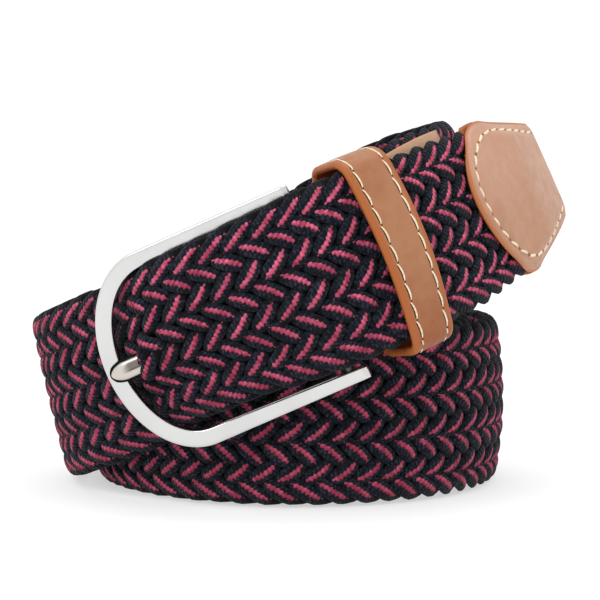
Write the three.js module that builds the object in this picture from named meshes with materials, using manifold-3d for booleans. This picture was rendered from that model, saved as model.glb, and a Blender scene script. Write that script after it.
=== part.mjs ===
// Braided waist belt, fastened and coiled, standing on its lower edge.
// Millimetres, +Z up. The origin is under the middle of the coil, on the surface that it stands on.
// The belt's route is a spiral of four turns. It starts at the leather tip, at the upper right of the
// front, runs down over the buckle, goes round three times inwards, climbs inside the coil, crosses over
// its rim and comes back down in front as the buckle end.
import * as THREE from 'three';
import { mergeVertices } from 'three/addons/utils/BufferGeometryUtils.js';
import Module from 'manifold-3d';

const wasm = await Module();
wasm.setup();

// Woven strap
const BRAID_HALF_WIDTH = 17.5;
const BRAID_HALF_THICKNESS = 2.0;
const BRAID_EDGE_ROUND = 0.8;
const BRAID_SQUEEZE = 3.3; // how much each side draws in where the strap dives through the buckle
const BRAID_SQUEEZE_ANGLE = 22;
const BRAID_SQUEEZE_SPREAD = 12;
const FIT = 0.3; // clearance between pieces that touch on the real belt

// Coil
const TURN_STEP = 5.1; // each flat turn lies this much inside the one before
const OUTER_RADIUS = 45.35; // middle of the outermost flat turn
const STANDING_HEIGHT = 17.5;
const COIL_CUP = 1.8; // how far the edges curl towards the inside of the coil

// Leather tip, a pocket folded over the end of the braid
const TIP_LENGTH = 23.5; // at its side edges
const TIP_SEAM_BULGE = 13.0; // how much further the seam reaches in the middle
const TIP_SEAM_SKEW = 2.0; // how much more than that above the middle, and less below
const TIP_BACK_SEAM_BULGE = 4.5; // the back leaf's, which stays clear of the buckle tab
const TIP_HALF_WIDTH = 16.4;
const TIP_END_HALF_WIDTH = 10.2;
const TIP_SHOULDER = 22.4; // distance from the end where the side edges start to taper
const TIP_EDGE_HALF_THICKNESS = 1.4;
const TIP_SEAM_HALF_THICKNESS = 3.3;
const TIP_EDGE_BAND = 0.28; // share of the half width, at each side, that thins towards the edge
const TIP_EDGE_THINNING = 0.25;
const BRAID_START = 11; // where the braid begins inside the pocket
const POCKET_WALL = 2.4; // how far the braid stays inside the tip's side edges
const POCKET_THINNING = 0.6; // how much thinner each half of the braid is inside the pocket
const BRAID_NEAR_TIP = { to: 43, count: 10 }; // sections between there and clear of the tip

// Buckle tab, a leather strip folded round the hinge bar
const TAB_LEATHER = 1.1;
const TAB_HALF_WIDTH = 16.0;
const TAB_LENGTH = 42;
const TAB_INNER_HALF_GAP = 2.5;
const TAB_FOLD_INNER_RADIUS = 1.6;
const TAB_SLOT_HALF_WIDTH = 2.5;
const TAB_SLOT_REACH = 8;
const BRAID_END = 5.5; // how far the braid stops short of the hinge bar
const BRAID_END_NARROWING = 1.4; // the tab holds the braid's end this much narrower at each edge

// Keeper loop
const KEEPER_CENTRE = 60.9; // distance from the tip, along the belt
const KEEPER_WIDTH = 10.3;
const KEEPER_LEATHER = 1.6;
const KEEPER_OUTER_GAP = 0.35;
const KEEPER_TOP_GAP = 1.5;
const KEEPER_LOWER_GAP = 0.7;
const KEEPER_BACK = 10.4; // how far behind the strap's middle the loop's inner face lies
const KEEPER_BACK_INSET = 0.5; // the lower back corner lies this much further in
const KEEPER_FRONT_ROUND = 2.8; // inner radius of the upper front corner
const KEEPER_BACK_ROUND = 1.9; // of the upper back one
const KEEPER_LOWER_ROUND = 1.4;
const KEEPER_BOW = 1.6; // how far the middle of its front bulges outwards
const KEEPER_SKEW = 0.13; // how much further towards the tip each millimetre of its depth lies

// Buckle: a flat frame shaped like a U with a half-ellipse end
const FRAME_LENGTH = 47.0;
const FRAME_WIDTH = 40.6;
const FRAME_END_DEPTH = 14.6;
const FRAME_BAR = 3.4; // width of the frame's face
const FRAME_ARM_END_BAR = 2.6; // the arms narrow to this at their free ends
const FRAME_THICKNESS = 2.6;
const FRAME_EDGE = 0.35;
const FRAME_POSITION = [-20.15, -50.2, 32.6]; // middle of the frame where the half-ellipse starts
const FRAME_ROLL = 24.14; // degrees, rising to the right
const FRAME_YAW = 6; // degrees, arm ends turned forwards
const HINGE_INSET = 3.5; // hinge bar's distance from the arm ends
const HINGE_RADIUS = 1.2;
const HINGE_PIN_RADIUS = 0.7;
const HINGE_HOLE_RADIUS = 1.0;
const HINGE_HOLE_BOTTOM = 0.8; // metal left between a blind hole and the frame's outer side
const HINGE_SHOULDER_GAP = 0.15;

// Prong
const PRONG_WIDTH = 3.6;
const PRONG_THICKNESS = 1.8;
const PRONG_EYE_INNER = 1.5;
const PRONG_EYE_OUTER = 2.7;
const PRONG_TIP_REACH = 13.4; // how far the tip lies past the start of the half-ellipse
const PRONG_REST_GAP = 0.3;

const radians = (degrees) => (degrees * Math.PI) / 180;

// Route of the belt's middle line. Columns: angle round the coil in degrees (0 at the front, 90 at the
// left, 180 at the back), radius, height, lean of the section to the left at its top, and cup.
const FRONT_STRAP = [
  [-86, 55.6, 65.6, 23, 0.5],
  [-73, 52.5, 62.8, 23, 0.7],
  [-60, 50.8, 60.0, 23, 0.9],
  [-45, 51.6, 56.9, 23, 0.9],
  [-26, 55.2, 52.1, 23, 0.6],
  [-16, 57.6, 48.8, 23, 0.4],
  [-6, 59.2, 45.0, 23.5, 0.3],
  [4, 59.0, 41.2, 23.5, 0.8],
  [14, 58.4, 36.9, 23, 1.4],
  [22, 58.0, 33.2, 22.5, 3.8],
  [29, 55.2, 30.2, 22, 5.0],
  [35, 52.4, 27.8, 21, 4.8],
  [43, 51.4, 25.2, 19, 3.6],
  [56, 50.6, 21.8, 17, 1.6],
  [72, 48.4, 19.0, 14, 0.7],
  [90, 46.6, 17.9, 11, 0.3],
  [120, 45.9, STANDING_HEIGHT, 6, 0.8],
  [150, 45.5, STANDING_HEIGHT, 2, 1.5],
  [180, OUTER_RADIUS, STANDING_HEIGHT, 0, COIL_CUP],
  [270, OUTER_RADIUS, STANDING_HEIGHT, 0, COIL_CUP],
];
// Each flat turn steps inside the one before. Columns: angle from the front, change of radius, lean.
const STEP_IN = [
  [-60, 0, 0],
  [-30, -0.5, 0],
  [0, -1.6, 0],
  [20, -3.4, 1],
  [40, -5.0, 2],
  [60, -5.6, 3.5],
  [80, -6.0, 4.5],
  [100, -6.2, 4.5],
  [135, -5.8, 2],
  [180, -5.2, 0],
];
// The innermost turn climbs, crosses over the rim and comes down in front. Columns as above.
const INNER_TURN = [
  [1020, 35.1, STANDING_HEIGHT, 0, COIL_CUP],
  [1050, 34.6, STANDING_HEIGHT, 0, COIL_CUP],
  [1080, 33.4, 17.6, 0, COIL_CUP],
  [1110, 30.9, 17.9, 3, COIL_CUP],
  [1140, 28.4, 18.8, 5, COIL_CUP],
  [1170, 26.7, 21.2, 7, COIL_CUP],
  [1200, 25.8, 26.0, 9, COIL_CUP],
  [1230, 25.7, 33.4, 11, COIL_CUP],
  [1260, 25.0, 39.4, 11, COIL_CUP],
  [1290, 24.2, 46.2, 10, COIL_CUP],
  [1320, 28.3, 54.2, 15, COIL_CUP],
  [1350, 39.0, 59.8, 22, 1.7],
  [1375, 43.4, 60.0, 24, 1.3],
  [1395, 44.8, 57.8, 23.5, 0.9],
  [1410, 47.4, 53.9, 23.3, 0.6],
  [1422, 50.6, 48.9, 23.7, 0.4],
];

// Frame directions: a runs from the end bar to the arm ends, b across the strap, c towards the front.
const AXIS_B = new THREE.Vector3(-Math.sin(radians(FRAME_ROLL)), 0, Math.cos(radians(FRAME_ROLL)));
const AXIS_A = new THREE.Vector3(Math.cos(radians(FRAME_ROLL)), 0, Math.sin(radians(FRAME_ROLL)))
  .applyAxisAngle(AXIS_B, -radians(FRAME_YAW));
const AXIS_C = new THREE.Vector3().crossVectors(AXIS_A, AXIS_B);
const FRAME_ORIGIN = new THREE.Vector3(...FRAME_POSITION);
const HINGE_A = FRAME_LENGTH - FRAME_END_DEPTH - HINGE_INSET;
const HINGE_POINT = FRAME_ORIGIN.clone().addScaledVector(AXIS_A, HINGE_A);

function routeRows() {
  const rows = [...FRONT_STRAP];
  for (let turn = 0; turn < 2; turn += 1) {
    for (const [angle, change, lean] of STEP_IN) {
      const radius = OUTER_RADIUS - TURN_STEP * turn + change;
      rows.push([360 * (turn + 1) + angle, radius, STANDING_HEIGHT, lean, COIL_CUP]);
    }
  }
  rows.push(...INNER_TURN);
  const hingeAngle = 1440 - THREE.MathUtils.radToDeg(Math.atan2(HINGE_POINT.x, -HINGE_POINT.y));
  rows.push([hingeAngle, Math.hypot(HINGE_POINT.x, HINGE_POINT.y), HINGE_POINT.z, FRAME_ROLL, 0.1]);
  return rows;
}

const ROUTE = routeRows();
const START_ANGLE = ROUTE[0][0];
const END_ANGLE = ROUTE[ROUTE.length - 1][0];

function rowSlope(index, column) {
  const before = ROUTE[Math.max(index - 1, 0)];
  const after = ROUTE[Math.min(index + 1, ROUTE.length - 1)];
  return (after[column] - before[column]) / (after[0] - before[0]);
}

// Smooth value of one column at an angle, by cubic Hermite between the rows
function routeValue(angle, column) {
  let i = 0;
  while (i < ROUTE.length - 2 && angle > ROUTE[i + 1][0]) i += 1;
  const span = ROUTE[i + 1][0] - ROUTE[i][0];
  const u = (angle - ROUTE[i][0]) / span;
  const start = ROUTE[i][column];
  const end = ROUTE[i + 1][column];
  const startSlope = rowSlope(i, column) * span;
  const endSlope = rowSlope(i + 1, column) * span;
  const u2 = u * u;
  const u3 = u2 * u;
  return (2 * u3 - 3 * u2 + 1) * start + (u3 - 2 * u2 + u) * startSlope
    + (3 * u2 - 2 * u3) * end + (u3 - u2) * endSlope;
}

function routeCentre(angle) {
  const radius = routeValue(angle, 1);
  const turn = radians(angle);
  return new THREE.Vector3(-radius * Math.sin(turn), -radius * Math.cos(turn), routeValue(angle, 2));
}

// Directions at an angle: along the belt, across it (upwards) and out of its face
function routeFrame(angle) {
  const along = routeCentre(angle + 0.5).sub(routeCentre(angle - 0.5)).normalize();
  const lean = radians(routeValue(angle, 3));
  const across = new THREE.Vector3(-Math.sin(lean), 0, Math.cos(lean));
  across.addScaledVector(along, -across.dot(along)).normalize();
  const out = new THREE.Vector3().crossVectors(across, along);
  return { along, across, out };
}

// Distance along the belt, tabled every half degree
const LENGTH_STEP = 0.5;
const LENGTHS = [0];
for (let angle = START_ANGLE; angle < END_ANGLE; angle += LENGTH_STEP) {
  const next = Math.min(angle + LENGTH_STEP, END_ANGLE);
  LENGTHS.push(LENGTHS[LENGTHS.length - 1] + routeCentre(next).distanceTo(routeCentre(angle)));
}
const BELT_LENGTH = LENGTHS[LENGTHS.length - 1];

function angleAt(distance) {
  if (distance >= BELT_LENGTH) return END_ANGLE;
  let low = 0;
  let high = LENGTHS.length - 1;
  while (high - low > 1) {
    const middle = (low + high) >> 1;
    if (LENGTHS[middle] <= distance) low = middle;
    else high = middle;
  }
  const share = (distance - LENGTHS[low]) / (LENGTHS[high] - LENGTHS[low]);
  const lowAngle = START_ANGLE + LENGTH_STEP * low;
  const highAngle = Math.min(lowAngle + LENGTH_STEP, END_ANGLE);
  return lowAngle + share * (highAngle - lowAngle);
}

// Point of the belt: distance from the tip, height across from the middle, and height out of the face
function beltPoint(distance, across, out) {
  const angle = angleAt(distance);
  const frame = routeFrame(angle);
  const cup = routeValue(angle, 4) * (across / BRAID_HALF_WIDTH) ** 2;
  const point = routeCentre(angle);
  if (distance > BELT_LENGTH) point.addScaledVector(frame.along, distance - BELT_LENGTH);
  if (distance < 0) point.addScaledVector(frame.along, distance);
  return point.addScaledVector(frame.across, across).addScaledVector(frame.out, out - cup);
}

const toRow = (value, start, end) => THREE.MathUtils.clamp((value - start) / (end - start), 0, 1);
const smooth = (value, start, end) => THREE.MathUtils.smoothstep(value, start, end);

// Half of the braid's width along the belt
function braidHalfWidth(distance) {
  const angle = angleAt(distance);
  const squeeze = BRAID_SQUEEZE * Math.exp(-(((angle - BRAID_SQUEEZE_ANGLE) / BRAID_SQUEEZE_SPREAD) ** 2));
  const inPocket = tipHalfWidth(Math.min(distance, TIP_SHOULDER)) - POCKET_WALL;
  const mouth = TIP_LENGTH + 1;
  const width = inPocket + (TIP_HALF_WIDTH - inPocket) * smooth(distance, mouth - 1.5, mouth + 3)
    + (BRAID_HALF_WIDTH - TIP_HALF_WIDTH) * smooth(distance, mouth + 2, mouth + 20);
  const toHinge = BELT_LENGTH - distance;
  return width - squeeze - BRAID_END_NARROWING * (1 - smooth(toHinge, 18, 34));
}

function braidHalfThickness(distance) {
  return BRAID_HALF_THICKNESS - POCKET_THINNING * (1 - smooth(distance, BRAID_START, TIP_LENGTH + 3));
}

// A flat closed outline with its long faces split, so that they can be bent
function stripOutline(halfWidth, halfThickness, round, spans) {
  const outline = [];
  const inner = halfWidth - round;
  const diagonal = round * (1 - Math.SQRT1_2);
  for (let i = 0; i <= spans; i += 1) outline.push([-inner + (2 * inner * i) / spans, -halfThickness]);
  outline.push([halfWidth - diagonal, -halfThickness + diagonal]);
  outline.push([halfWidth, -halfThickness + round]);
  outline.push([halfWidth, halfThickness - round]);
  outline.push([halfWidth - diagonal, halfThickness - diagonal]);
  for (let i = 0; i <= spans; i += 1) outline.push([inner - (2 * inner * i) / spans, halfThickness]);
  outline.push([-halfWidth + diagonal, halfThickness - diagonal]);
  outline.push([-halfWidth, halfThickness - round]);
  outline.push([-halfWidth, -halfThickness + round]);
  outline.push([-halfWidth + diagonal, -halfThickness + diagonal]);
  return outline;
}

function shapeOf(points) {
  return new THREE.Shape(points.map(([x, y]) => new THREE.Vector2(x, y)));
}

// Extrudes a shape in steps and moves every vertex to place(x, y, share of the length)
function bentExtrusion(shape, steps, place) {
  const geometry = new THREE.ExtrudeGeometry(shape, { depth: 1, steps, bevelEnabled: false, curveSegments: 8 });
  const position = geometry.attributes.position;
  for (let i = 0; i < position.count; i += 1) {
    const point = place(position.getX(i), position.getY(i), position.getZ(i));
    position.setXYZ(i, point.x, point.y, point.z);
  }
  return closedGeometry(geometry);
}

function closedGeometry(geometry) {
  const bare = geometry.clone();
  bare.deleteAttribute('normal');
  bare.deleteAttribute('uv');
  const merged = mergeVertices(bare, 1e-5);
  merged.computeVertexNormals();
  return merged;
}

function toSolid(geometry) {
  const closed = geometry.index && !geometry.attributes.uv ? geometry : closedGeometry(geometry);
  return new wasm.Manifold(new wasm.Mesh({
    numProp: 3,
    vertProperties: new Float32Array(closed.attributes.position.array),
    triVerts: new Uint32Array(closed.index.array),
  }));
}

function toGeometry(solid) {
  const mesh = solid.getMesh();
  const geometry = new THREE.BufferGeometry();
  geometry.setAttribute('position', new THREE.BufferAttribute(new Float32Array(mesh.vertProperties), 3));
  geometry.setIndex(new THREE.BufferAttribute(new Uint32Array(mesh.triVerts), 1));
  geometry.computeVertexNormals();
  return geometry;
}

// The braid, from inside the tip's pocket to just short of the hinge bar. Extra is added all round.
function braidGeometry(start, end, steps, extra) {
  const spans = 5;
  const outline = stripOutline(BRAID_HALF_WIDTH, BRAID_HALF_THICKNESS, BRAID_EDGE_ROUND, spans);
  const stations = steps.flatMap(({ to, count }, part) => {
    const from = part === 0 ? start : steps[part - 1].to;
    return Array.from({ length: count }, (_, i) => from + ((to - from) * i) / count);
  });
  stations.push(end);
  const total = stations.length - 1;
  return bentExtrusion(shapeOf(outline), total, (x, y, share) => {
    const station = Math.round(share * total);
    const distance = stations[station] - (station === 0 ? extra : 0);
    const across = -x * ((braidHalfWidth(distance) + extra) / BRAID_HALF_WIDTH);
    const out = y * ((braidHalfThickness(distance) + extra) / BRAID_HALF_THICKNESS);
    const point = beltPoint(distance, across, out);
    const angle = angleAt(distance);
    const onLowerEdge = Math.abs(x - BRAID_HALF_WIDTH) < 1e-6;
    if (onLowerEdge && angle > 120 && angle < 1081) point.z = 0;
    return point;
  });
}

// Leather tip: tapered to a flat folded end, with a curved seam and a pocket for the braid
function tipHalfWidth(distance) {
  const taper = toRow(distance, 0, TIP_SHOULDER);
  const corner = 0.9 * (1 - toRow(distance, 0, 1.2)) ** 2;
  return TIP_END_HALF_WIDTH + (TIP_HALF_WIDTH - TIP_END_HALF_WIDTH) * taper - corner;
}

function tipGeometry() {
  const unit = stripOutline(1, 1, 0.04, 12);
  const steps = 16;
  const outer = bentExtrusion(shapeOf(unit), steps, (x, y, share) => {
    const arch = Math.sqrt(Math.max(1 - x * x, 0));
    const bulge = y > 0 ? TIP_SEAM_BULGE - TIP_SEAM_SKEW * x : TIP_BACK_SEAM_BULGE;
    const seam = TIP_LENGTH + bulge * arch;
    const distance = seam * share;
    const edge = 1 - TIP_EDGE_THINNING * toRow(Math.abs(x), 1 - TIP_EDGE_BAND, 1);
    const swell = smooth(distance, 0.5, TIP_LENGTH - 5);
    const fold = 1 - 0.35 * (1 - toRow(distance, 0, 1.2)) ** 2;
    const middle = TIP_EDGE_HALF_THICKNESS + (TIP_SEAM_HALF_THICKNESS - TIP_EDGE_HALF_THICKNESS) * swell;
    const thickness = TIP_EDGE_HALF_THICKNESS + (middle - TIP_EDGE_HALF_THICKNESS) * edge;
    return beltPoint(distance, -x * tipHalfWidth(distance), y * thickness * fold);
  });
  const pocket = braidGeometry(BRAID_START, BRAID_NEAR_TIP.to, [BRAID_NEAR_TIP], FIT);
  return toGeometry(toSolid(outer).subtract(toSolid(pocket)));
}

// Buckle tab: one leather strip that runs down the front, round the hinge bar and back. The stations
// hold the leather's middle line: distance before the hinge, height out of the face, and its slope angle.
function tabStations() {
  const faceSpans = 11;
  const foldSpans = 8;
  const foldRadius = TAB_FOLD_INNER_RADIUS + TAB_LEATHER / 2;
  const faceHeight = TAB_INNER_HALF_GAP + TAB_LEATHER / 2;
  const stations = [];
  for (let i = 0; i < faceSpans; i += 1) {
    const along = TAB_LENGTH * (1 - i / faceSpans);
    stations.push([along, foldRadius + (faceHeight - foldRadius) * smooth(along, 0, BRAID_END), Math.PI / 2]);
  }
  for (let i = 0; i <= foldSpans; i += 1) {
    const turn = Math.PI / 2 - (Math.PI * i) / foldSpans;
    stations.push([-foldRadius * Math.cos(turn), foldRadius * Math.sin(turn), turn]);
  }
  for (let i = faceSpans - 1; i >= 0; i -= 1) stations.push([stations[i][0], -stations[i][1], -Math.PI / 2]);
  return stations;
}

function tabGeometry() {
  const stations = tabStations();
  const total = stations.length - 1;
  const outline = stripOutline(TAB_HALF_WIDTH, TAB_LEATHER / 2, 0.25, 5);
  const body = bentExtrusion(shapeOf(outline), total, (x, y, share) => {
    const [along, height, turn] = stations[Math.round(share * total)];
    const distance = BELT_LENGTH - along + y * Math.cos(turn);
    return beltPoint(distance, -x, height + y * Math.sin(turn));
  });
  const slot = closedGeometry(new THREE.BoxGeometry(TAB_SLOT_REACH + 6, 2 * TAB_SLOT_HALF_WIDTH, 16, 1, 1, 1)
    .translate(TAB_SLOT_REACH / 2 - 3, 0, 0));
  slot.applyMatrix4(new THREE.Matrix4().makeBasis(AXIS_A, AXIS_B, AXIS_C).setPosition(HINGE_POINT));
  return toGeometry(toSolid(body).subtract(toSolid(slot)));
}

// Keeper: a closed leather loop round the strap, the tab and the buckle end
function keeperRing(grow) {
  const low = BRAID_HALF_WIDTH + KEEPER_LOWER_GAP + grow;
  const top = -BRAID_HALF_WIDTH - KEEPER_TOP_GAP - grow;
  const front = BRAID_HALF_THICKNESS + KEEPER_OUTER_GAP + grow;
  const back = -KEEPER_BACK - grow;
  const upper = KEEPER_FRONT_ROUND + grow;
  const upperBack = KEEPER_BACK_ROUND + grow;
  const lower = KEEPER_LOWER_ROUND + grow;
  const lowBack = low - KEEPER_BACK_INSET;
  const points = [];
  const corner = (x, y, round, from) => {
    for (let i = 0; i <= 4; i += 1) {
      const turn = from + (Math.PI / 2) * (i / 4);
      points.push([x + round * Math.cos(turn), y + round * Math.sin(turn)]);
    }
  };
  const spans = 8;
  const between = (from, to, height, bow) => {
    for (let i = 1; i < spans; i += 1) {
      points.push([from + ((to - from) * i) / spans, height + bow * Math.sin((Math.PI * i) / spans)]);
    }
  };
  corner(low - lower, front - lower, lower, 0);
  between(low - lower, top + upper, front, KEEPER_BOW);
  corner(top + upper, front - upper, upper, Math.PI / 2);
  corner(top + upperBack, back + upperBack, upperBack, Math.PI);
  between(top + upperBack, lowBack - lower, back, 0);
  corner(lowBack - lower, back + lower, lower, 1.5 * Math.PI);
  return points;
}

function keeperGeometry() {
  const shape = shapeOf(keeperRing(KEEPER_LEATHER));
  shape.holes.push(new THREE.Path(keeperRing(0).map(([x, y]) => new THREE.Vector2(x, y))));
  return bentExtrusion(shape, 4, (x, y, share) => (
    beltPoint(KEEPER_CENTRE + (share - 0.5) * KEEPER_WIDTH + KEEPER_SKEW * Math.min(y, 0), -x, y)
  ));
}

// Frame outline, in the frame's own plane
function frameGeometry() {
  const half = FRAME_WIDTH / 2;
  const arm = FRAME_LENGTH - FRAME_END_DEPTH;
  const innerHalf = half - FRAME_BAR;
  const innerDepth = FRAME_END_DEPTH - FRAME_BAR;
  const outline = [[arm, -half + FRAME_EDGE], [arm, -half + FRAME_ARM_END_BAR - FRAME_EDGE]];
  const ellipse = (halfWidth, depth, sign) => {
    for (let i = 0; i <= 18; i += 1) {
      const turn = sign * (Math.PI / 2 - (Math.PI * i) / 18);
      outline.push([-depth * Math.cos(turn), halfWidth * Math.sin(turn)]);
    }
  };
  ellipse(innerHalf + FRAME_EDGE, innerDepth + FRAME_EDGE, -1);
  outline.push([arm, half - FRAME_ARM_END_BAR + FRAME_EDGE], [arm, half - FRAME_EDGE]);
  ellipse(half - FRAME_EDGE, FRAME_END_DEPTH - FRAME_EDGE, 1);
  const flat = new THREE.ExtrudeGeometry(shapeOf(outline), {
    depth: FRAME_THICKNESS - 2 * FRAME_EDGE,
    bevelEnabled: true,
    bevelThickness: FRAME_EDGE,
    bevelSize: FRAME_EDGE,
    bevelSegments: 2,
  });
  flat.translate(0, 0, -(FRAME_THICKNESS - 2 * FRAME_EDGE) / 2);
  const holes = new THREE.CylinderGeometry(HINGE_HOLE_RADIUS, HINGE_HOLE_RADIUS, FRAME_WIDTH - 2 * HINGE_HOLE_BOTTOM, 16);
  holes.translate(HINGE_A, 0, 0);
  return toGeometry(toSolid(closedGeometry(flat)).subtract(toSolid(closedGeometry(holes))));
}

// Hinge bar with a thinner pin at each end, turned round its own axis
function hingeBarGeometry() {
  const inner = FRAME_WIDTH / 2 - FRAME_BAR - HINGE_SHOULDER_GAP;
  const outer = FRAME_WIDTH / 2 - HINGE_HOLE_BOTTOM - FIT;
  const profile = [[0, -outer], [HINGE_PIN_RADIUS, -outer], [HINGE_PIN_RADIUS, -inner], [HINGE_RADIUS, -inner],
    [HINGE_RADIUS, inner], [HINGE_PIN_RADIUS, inner], [HINGE_PIN_RADIUS, outer], [0, outer]];
  return closedGeometry(new THREE.LatheGeometry(profile.map(([x, y]) => new THREE.Vector2(x, y)), 20));
}

// Height of the prong's middle over the frame's plane, from the hinge (share 0) to the tip (share 1)
function prongHeight(share) {
  const rest = FRAME_THICKNESS / 2 + PRONG_REST_GAP + PRONG_THICKNESS / 2;
  return rest * smooth(share, 0.1, 0.97);
}

function prongHalfWidth(share, length) {
  const fromTip = (1 - share) * length;
  const round = PRONG_WIDTH / 2;
  if (fromTip >= round) return round;
  return Math.max(Math.sqrt(Math.max(round ** 2 - (round - fromTip) ** 2, 0)), 0.35);
}

function prongShank(extra, startShare) {
  const start = HINGE_A - (PRONG_EYE_INNER + 0.6);
  const length = start + PRONG_TIP_REACH;
  const steps = 24;
  const unit = stripOutline(1, 1, 0.35, 2);
  return bentExtrusion(shapeOf(unit), steps, (x, y, share) => {
    const eased = startShare + (1 - startShare) * Math.sin((share * Math.PI) / 2);
    const along = start - eased * (length + extra);
    const half = prongHalfWidth(eased, length) + extra;
    const thickness = PRONG_THICKNESS / 2 + extra;
    return new THREE.Vector3(along, -x * half, prongHeight(eased) + y * thickness);
  });
}

function prongGeometry() {
  const eye = new THREE.Shape();
  eye.absarc(0, 0, PRONG_EYE_OUTER, 0, 2 * Math.PI);
  const bore = new THREE.Path();
  bore.absarc(0, 0, PRONG_EYE_INNER, 0, 2 * Math.PI, true);
  eye.holes.push(bore);
  const ring = new THREE.ExtrudeGeometry(eye, { depth: PRONG_WIDTH, bevelEnabled: false, curveSegments: 12 });
  ring.translate(0, 0, -PRONG_WIDTH / 2).rotateX(Math.PI / 2).translate(HINGE_A, 0, 0);
  return toGeometry(toSolid(closedGeometry(ring)).add(toSolid(prongShank(0, 0))));
}

function wovenCord(color) {
  return new THREE.MeshStandardMaterial({ color, roughness: 0.9, metalness: 0 });
}

function leather(color) {
  return new THREE.MeshStandardMaterial({ color, roughness: 0.55, metalness: 0 });
}

function silver(color) {
  return new THREE.MeshStandardMaterial({ color, roughness: 0.25, metalness: 1 });
}

const belt = new THREE.Group();

function addPiece(parent, name, geometry, material) {
  const mesh = new THREE.Mesh(geometry, material);
  mesh.name = name;
  parent.add(mesh);
  return mesh;
}

// The buckle's pieces share the frame's own directions
const buckle = new THREE.Group();
buckle.position.copy(FRAME_ORIGIN);
buckle.quaternion.setFromRotationMatrix(new THREE.Matrix4().makeBasis(AXIS_A, AXIS_B, AXIS_C));
buckle.updateMatrix();

// The strap, with the hole that the prong passes through
const braid = braidGeometry(BRAID_START, BELT_LENGTH - BRAID_END, [
  BRAID_NEAR_TIP,
  { to: 112, count: 14 },
  { to: 156, count: 18 },
  { to: 200, count: 8 },
  { to: BELT_LENGTH - 38, count: 102 },
  { to: BELT_LENGTH - BRAID_END, count: 11 },
], 0);
const prongHole = prongShank(FIT, 0.3);
prongHole.applyMatrix4(buckle.matrix);
const strap = toGeometry(toSolid(braid).subtract(toSolid(prongHole)));

addPiece(belt, 'braided_strap', strap, wovenCord(0x2a2238));
addPiece(belt, 'leather_tip', tipGeometry(), leather(0xbb8c6c));
addPiece(belt, 'buckle_tab', tabGeometry(), leather(0xb58765));
addPiece(belt, 'keeper_loop', keeperGeometry(), leather(0xb07a58));
addPiece(buckle, 'buckle_frame', frameGeometry(), silver(0xe4e4e2));
addPiece(buckle, 'prong', prongGeometry(), silver(0xcfc9bf));
const hingeBar = addPiece(buckle, 'hinge_bar', hingeBarGeometry(), silver(0xd8d8d6));
hingeBar.position.set(HINGE_A, 0, 0);
belt.add(buckle);

// The middle of the belt's outline goes over the origin
const box = new THREE.Box3().setFromObject(belt);
const middle = box.getCenter(new THREE.Vector3());
belt.position.set(-middle.x, -middle.y, -box.min.z);

export default belt;
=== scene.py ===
"""Braided waist belt, fastened, coiled and standing on its lower edge.

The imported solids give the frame: metres, +Z up, the buckle towards -Y and the leather tip towards +X.
The belt's pieces are laid out in belt space, in millimetres: the distance from the tip, the height
across from the strap's middle and the height out of its face. A Route turns that into metres.
"""

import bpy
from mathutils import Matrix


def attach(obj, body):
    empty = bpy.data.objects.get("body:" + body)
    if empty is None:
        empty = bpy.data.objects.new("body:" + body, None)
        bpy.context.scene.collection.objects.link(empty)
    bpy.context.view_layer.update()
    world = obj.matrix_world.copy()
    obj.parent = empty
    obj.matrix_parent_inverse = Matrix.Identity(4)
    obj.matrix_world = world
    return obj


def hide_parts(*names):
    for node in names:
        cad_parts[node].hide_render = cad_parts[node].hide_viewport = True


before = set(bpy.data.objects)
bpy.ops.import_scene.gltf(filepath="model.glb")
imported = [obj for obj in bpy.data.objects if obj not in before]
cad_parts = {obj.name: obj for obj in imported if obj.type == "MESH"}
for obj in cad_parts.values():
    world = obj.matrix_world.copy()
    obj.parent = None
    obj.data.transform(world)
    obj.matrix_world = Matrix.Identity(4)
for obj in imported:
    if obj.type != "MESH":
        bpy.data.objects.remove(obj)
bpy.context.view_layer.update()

import logging
import math
from dataclasses import dataclass, field
from enum import Enum
from typing import Iterable

import bmesh
import bpy
import numpy as np
from mathutils import Matrix, Vector

MM = 0.001
MERGE_WITHIN = 1e-7
LOG = logging.getLogger("belt")

Array = np.ndarray
Mesh = bmesh.types.BMesh
Piece = bpy.types.Object
Socket = bpy.types.NodeSocket
Numbers = tuple[float, ...]
Table = tuple[tuple[float, float], ...]
Colour = tuple[float, float, float, float]


def smooth(value: Array, start: float, end: float) -> Array:
    """Smooth step.

    Args:
        value: where to read the step.
        start: where it leaves 0.
        end: where it reaches 1.

    Returns:
        0 to 1 for each value.
    """
    share = np.clip((np.asarray(value, float) - start) / (end - start), 0.0, 1.0)
    return share * share * (3.0 - 2.0 * share)


def step_at(value: Array, place: float, band: Numbers) -> Array:
    """Smooth step that starts and ends at distances from a place."""
    return smooth(value, place + band[0], place + band[1])


def between(value: Array, rise: Numbers, fall: Numbers) -> Array:
    """Smooth step up over the first band and down again over the second one."""
    return smooth(value, *rise) * (1 - smooth(value, *fall))


def ridge(value: Array, middle: float, width: float) -> Array:
    """Smooth ridge, 1 at the middle."""
    return np.exp(-(((value - middle) / width) ** 2))


def unit(vectors: Array) -> Array:
    """Returns the vectors with a length of one."""
    return vectors / np.linalg.norm(vectors, axis=-1, keepdims=True)


def run_along(points: Array) -> Array:
    """Returns the distance of each point along a line of points."""
    return np.append(0.0, np.cumsum(np.linalg.norm(np.diff(points, axis=0), axis=1)))


def read_line(table: Array, run: Array, at: float) -> Vector:
    """Reads a table of points or directions at a distance along it.

    Args:
        table: one row for each distance.
        run: the distances.
        at: where to read it.

    Returns:
        The row between its neighbours.
    """
    return Vector([float(np.interp(at, run, table[:, axis])) for axis in range(3)])


class Column(Enum):
    """Columns of the route's table after the angle."""

    RADIUS = 1
    HEIGHT = 2
    LEAN = 3
    CUP = 4


class Slot(Enum):
    """The record's material slots."""

    CORD = "woven_cord"
    LEATHER = "tan_leather"
    METAL = "silver_metal"


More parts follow.
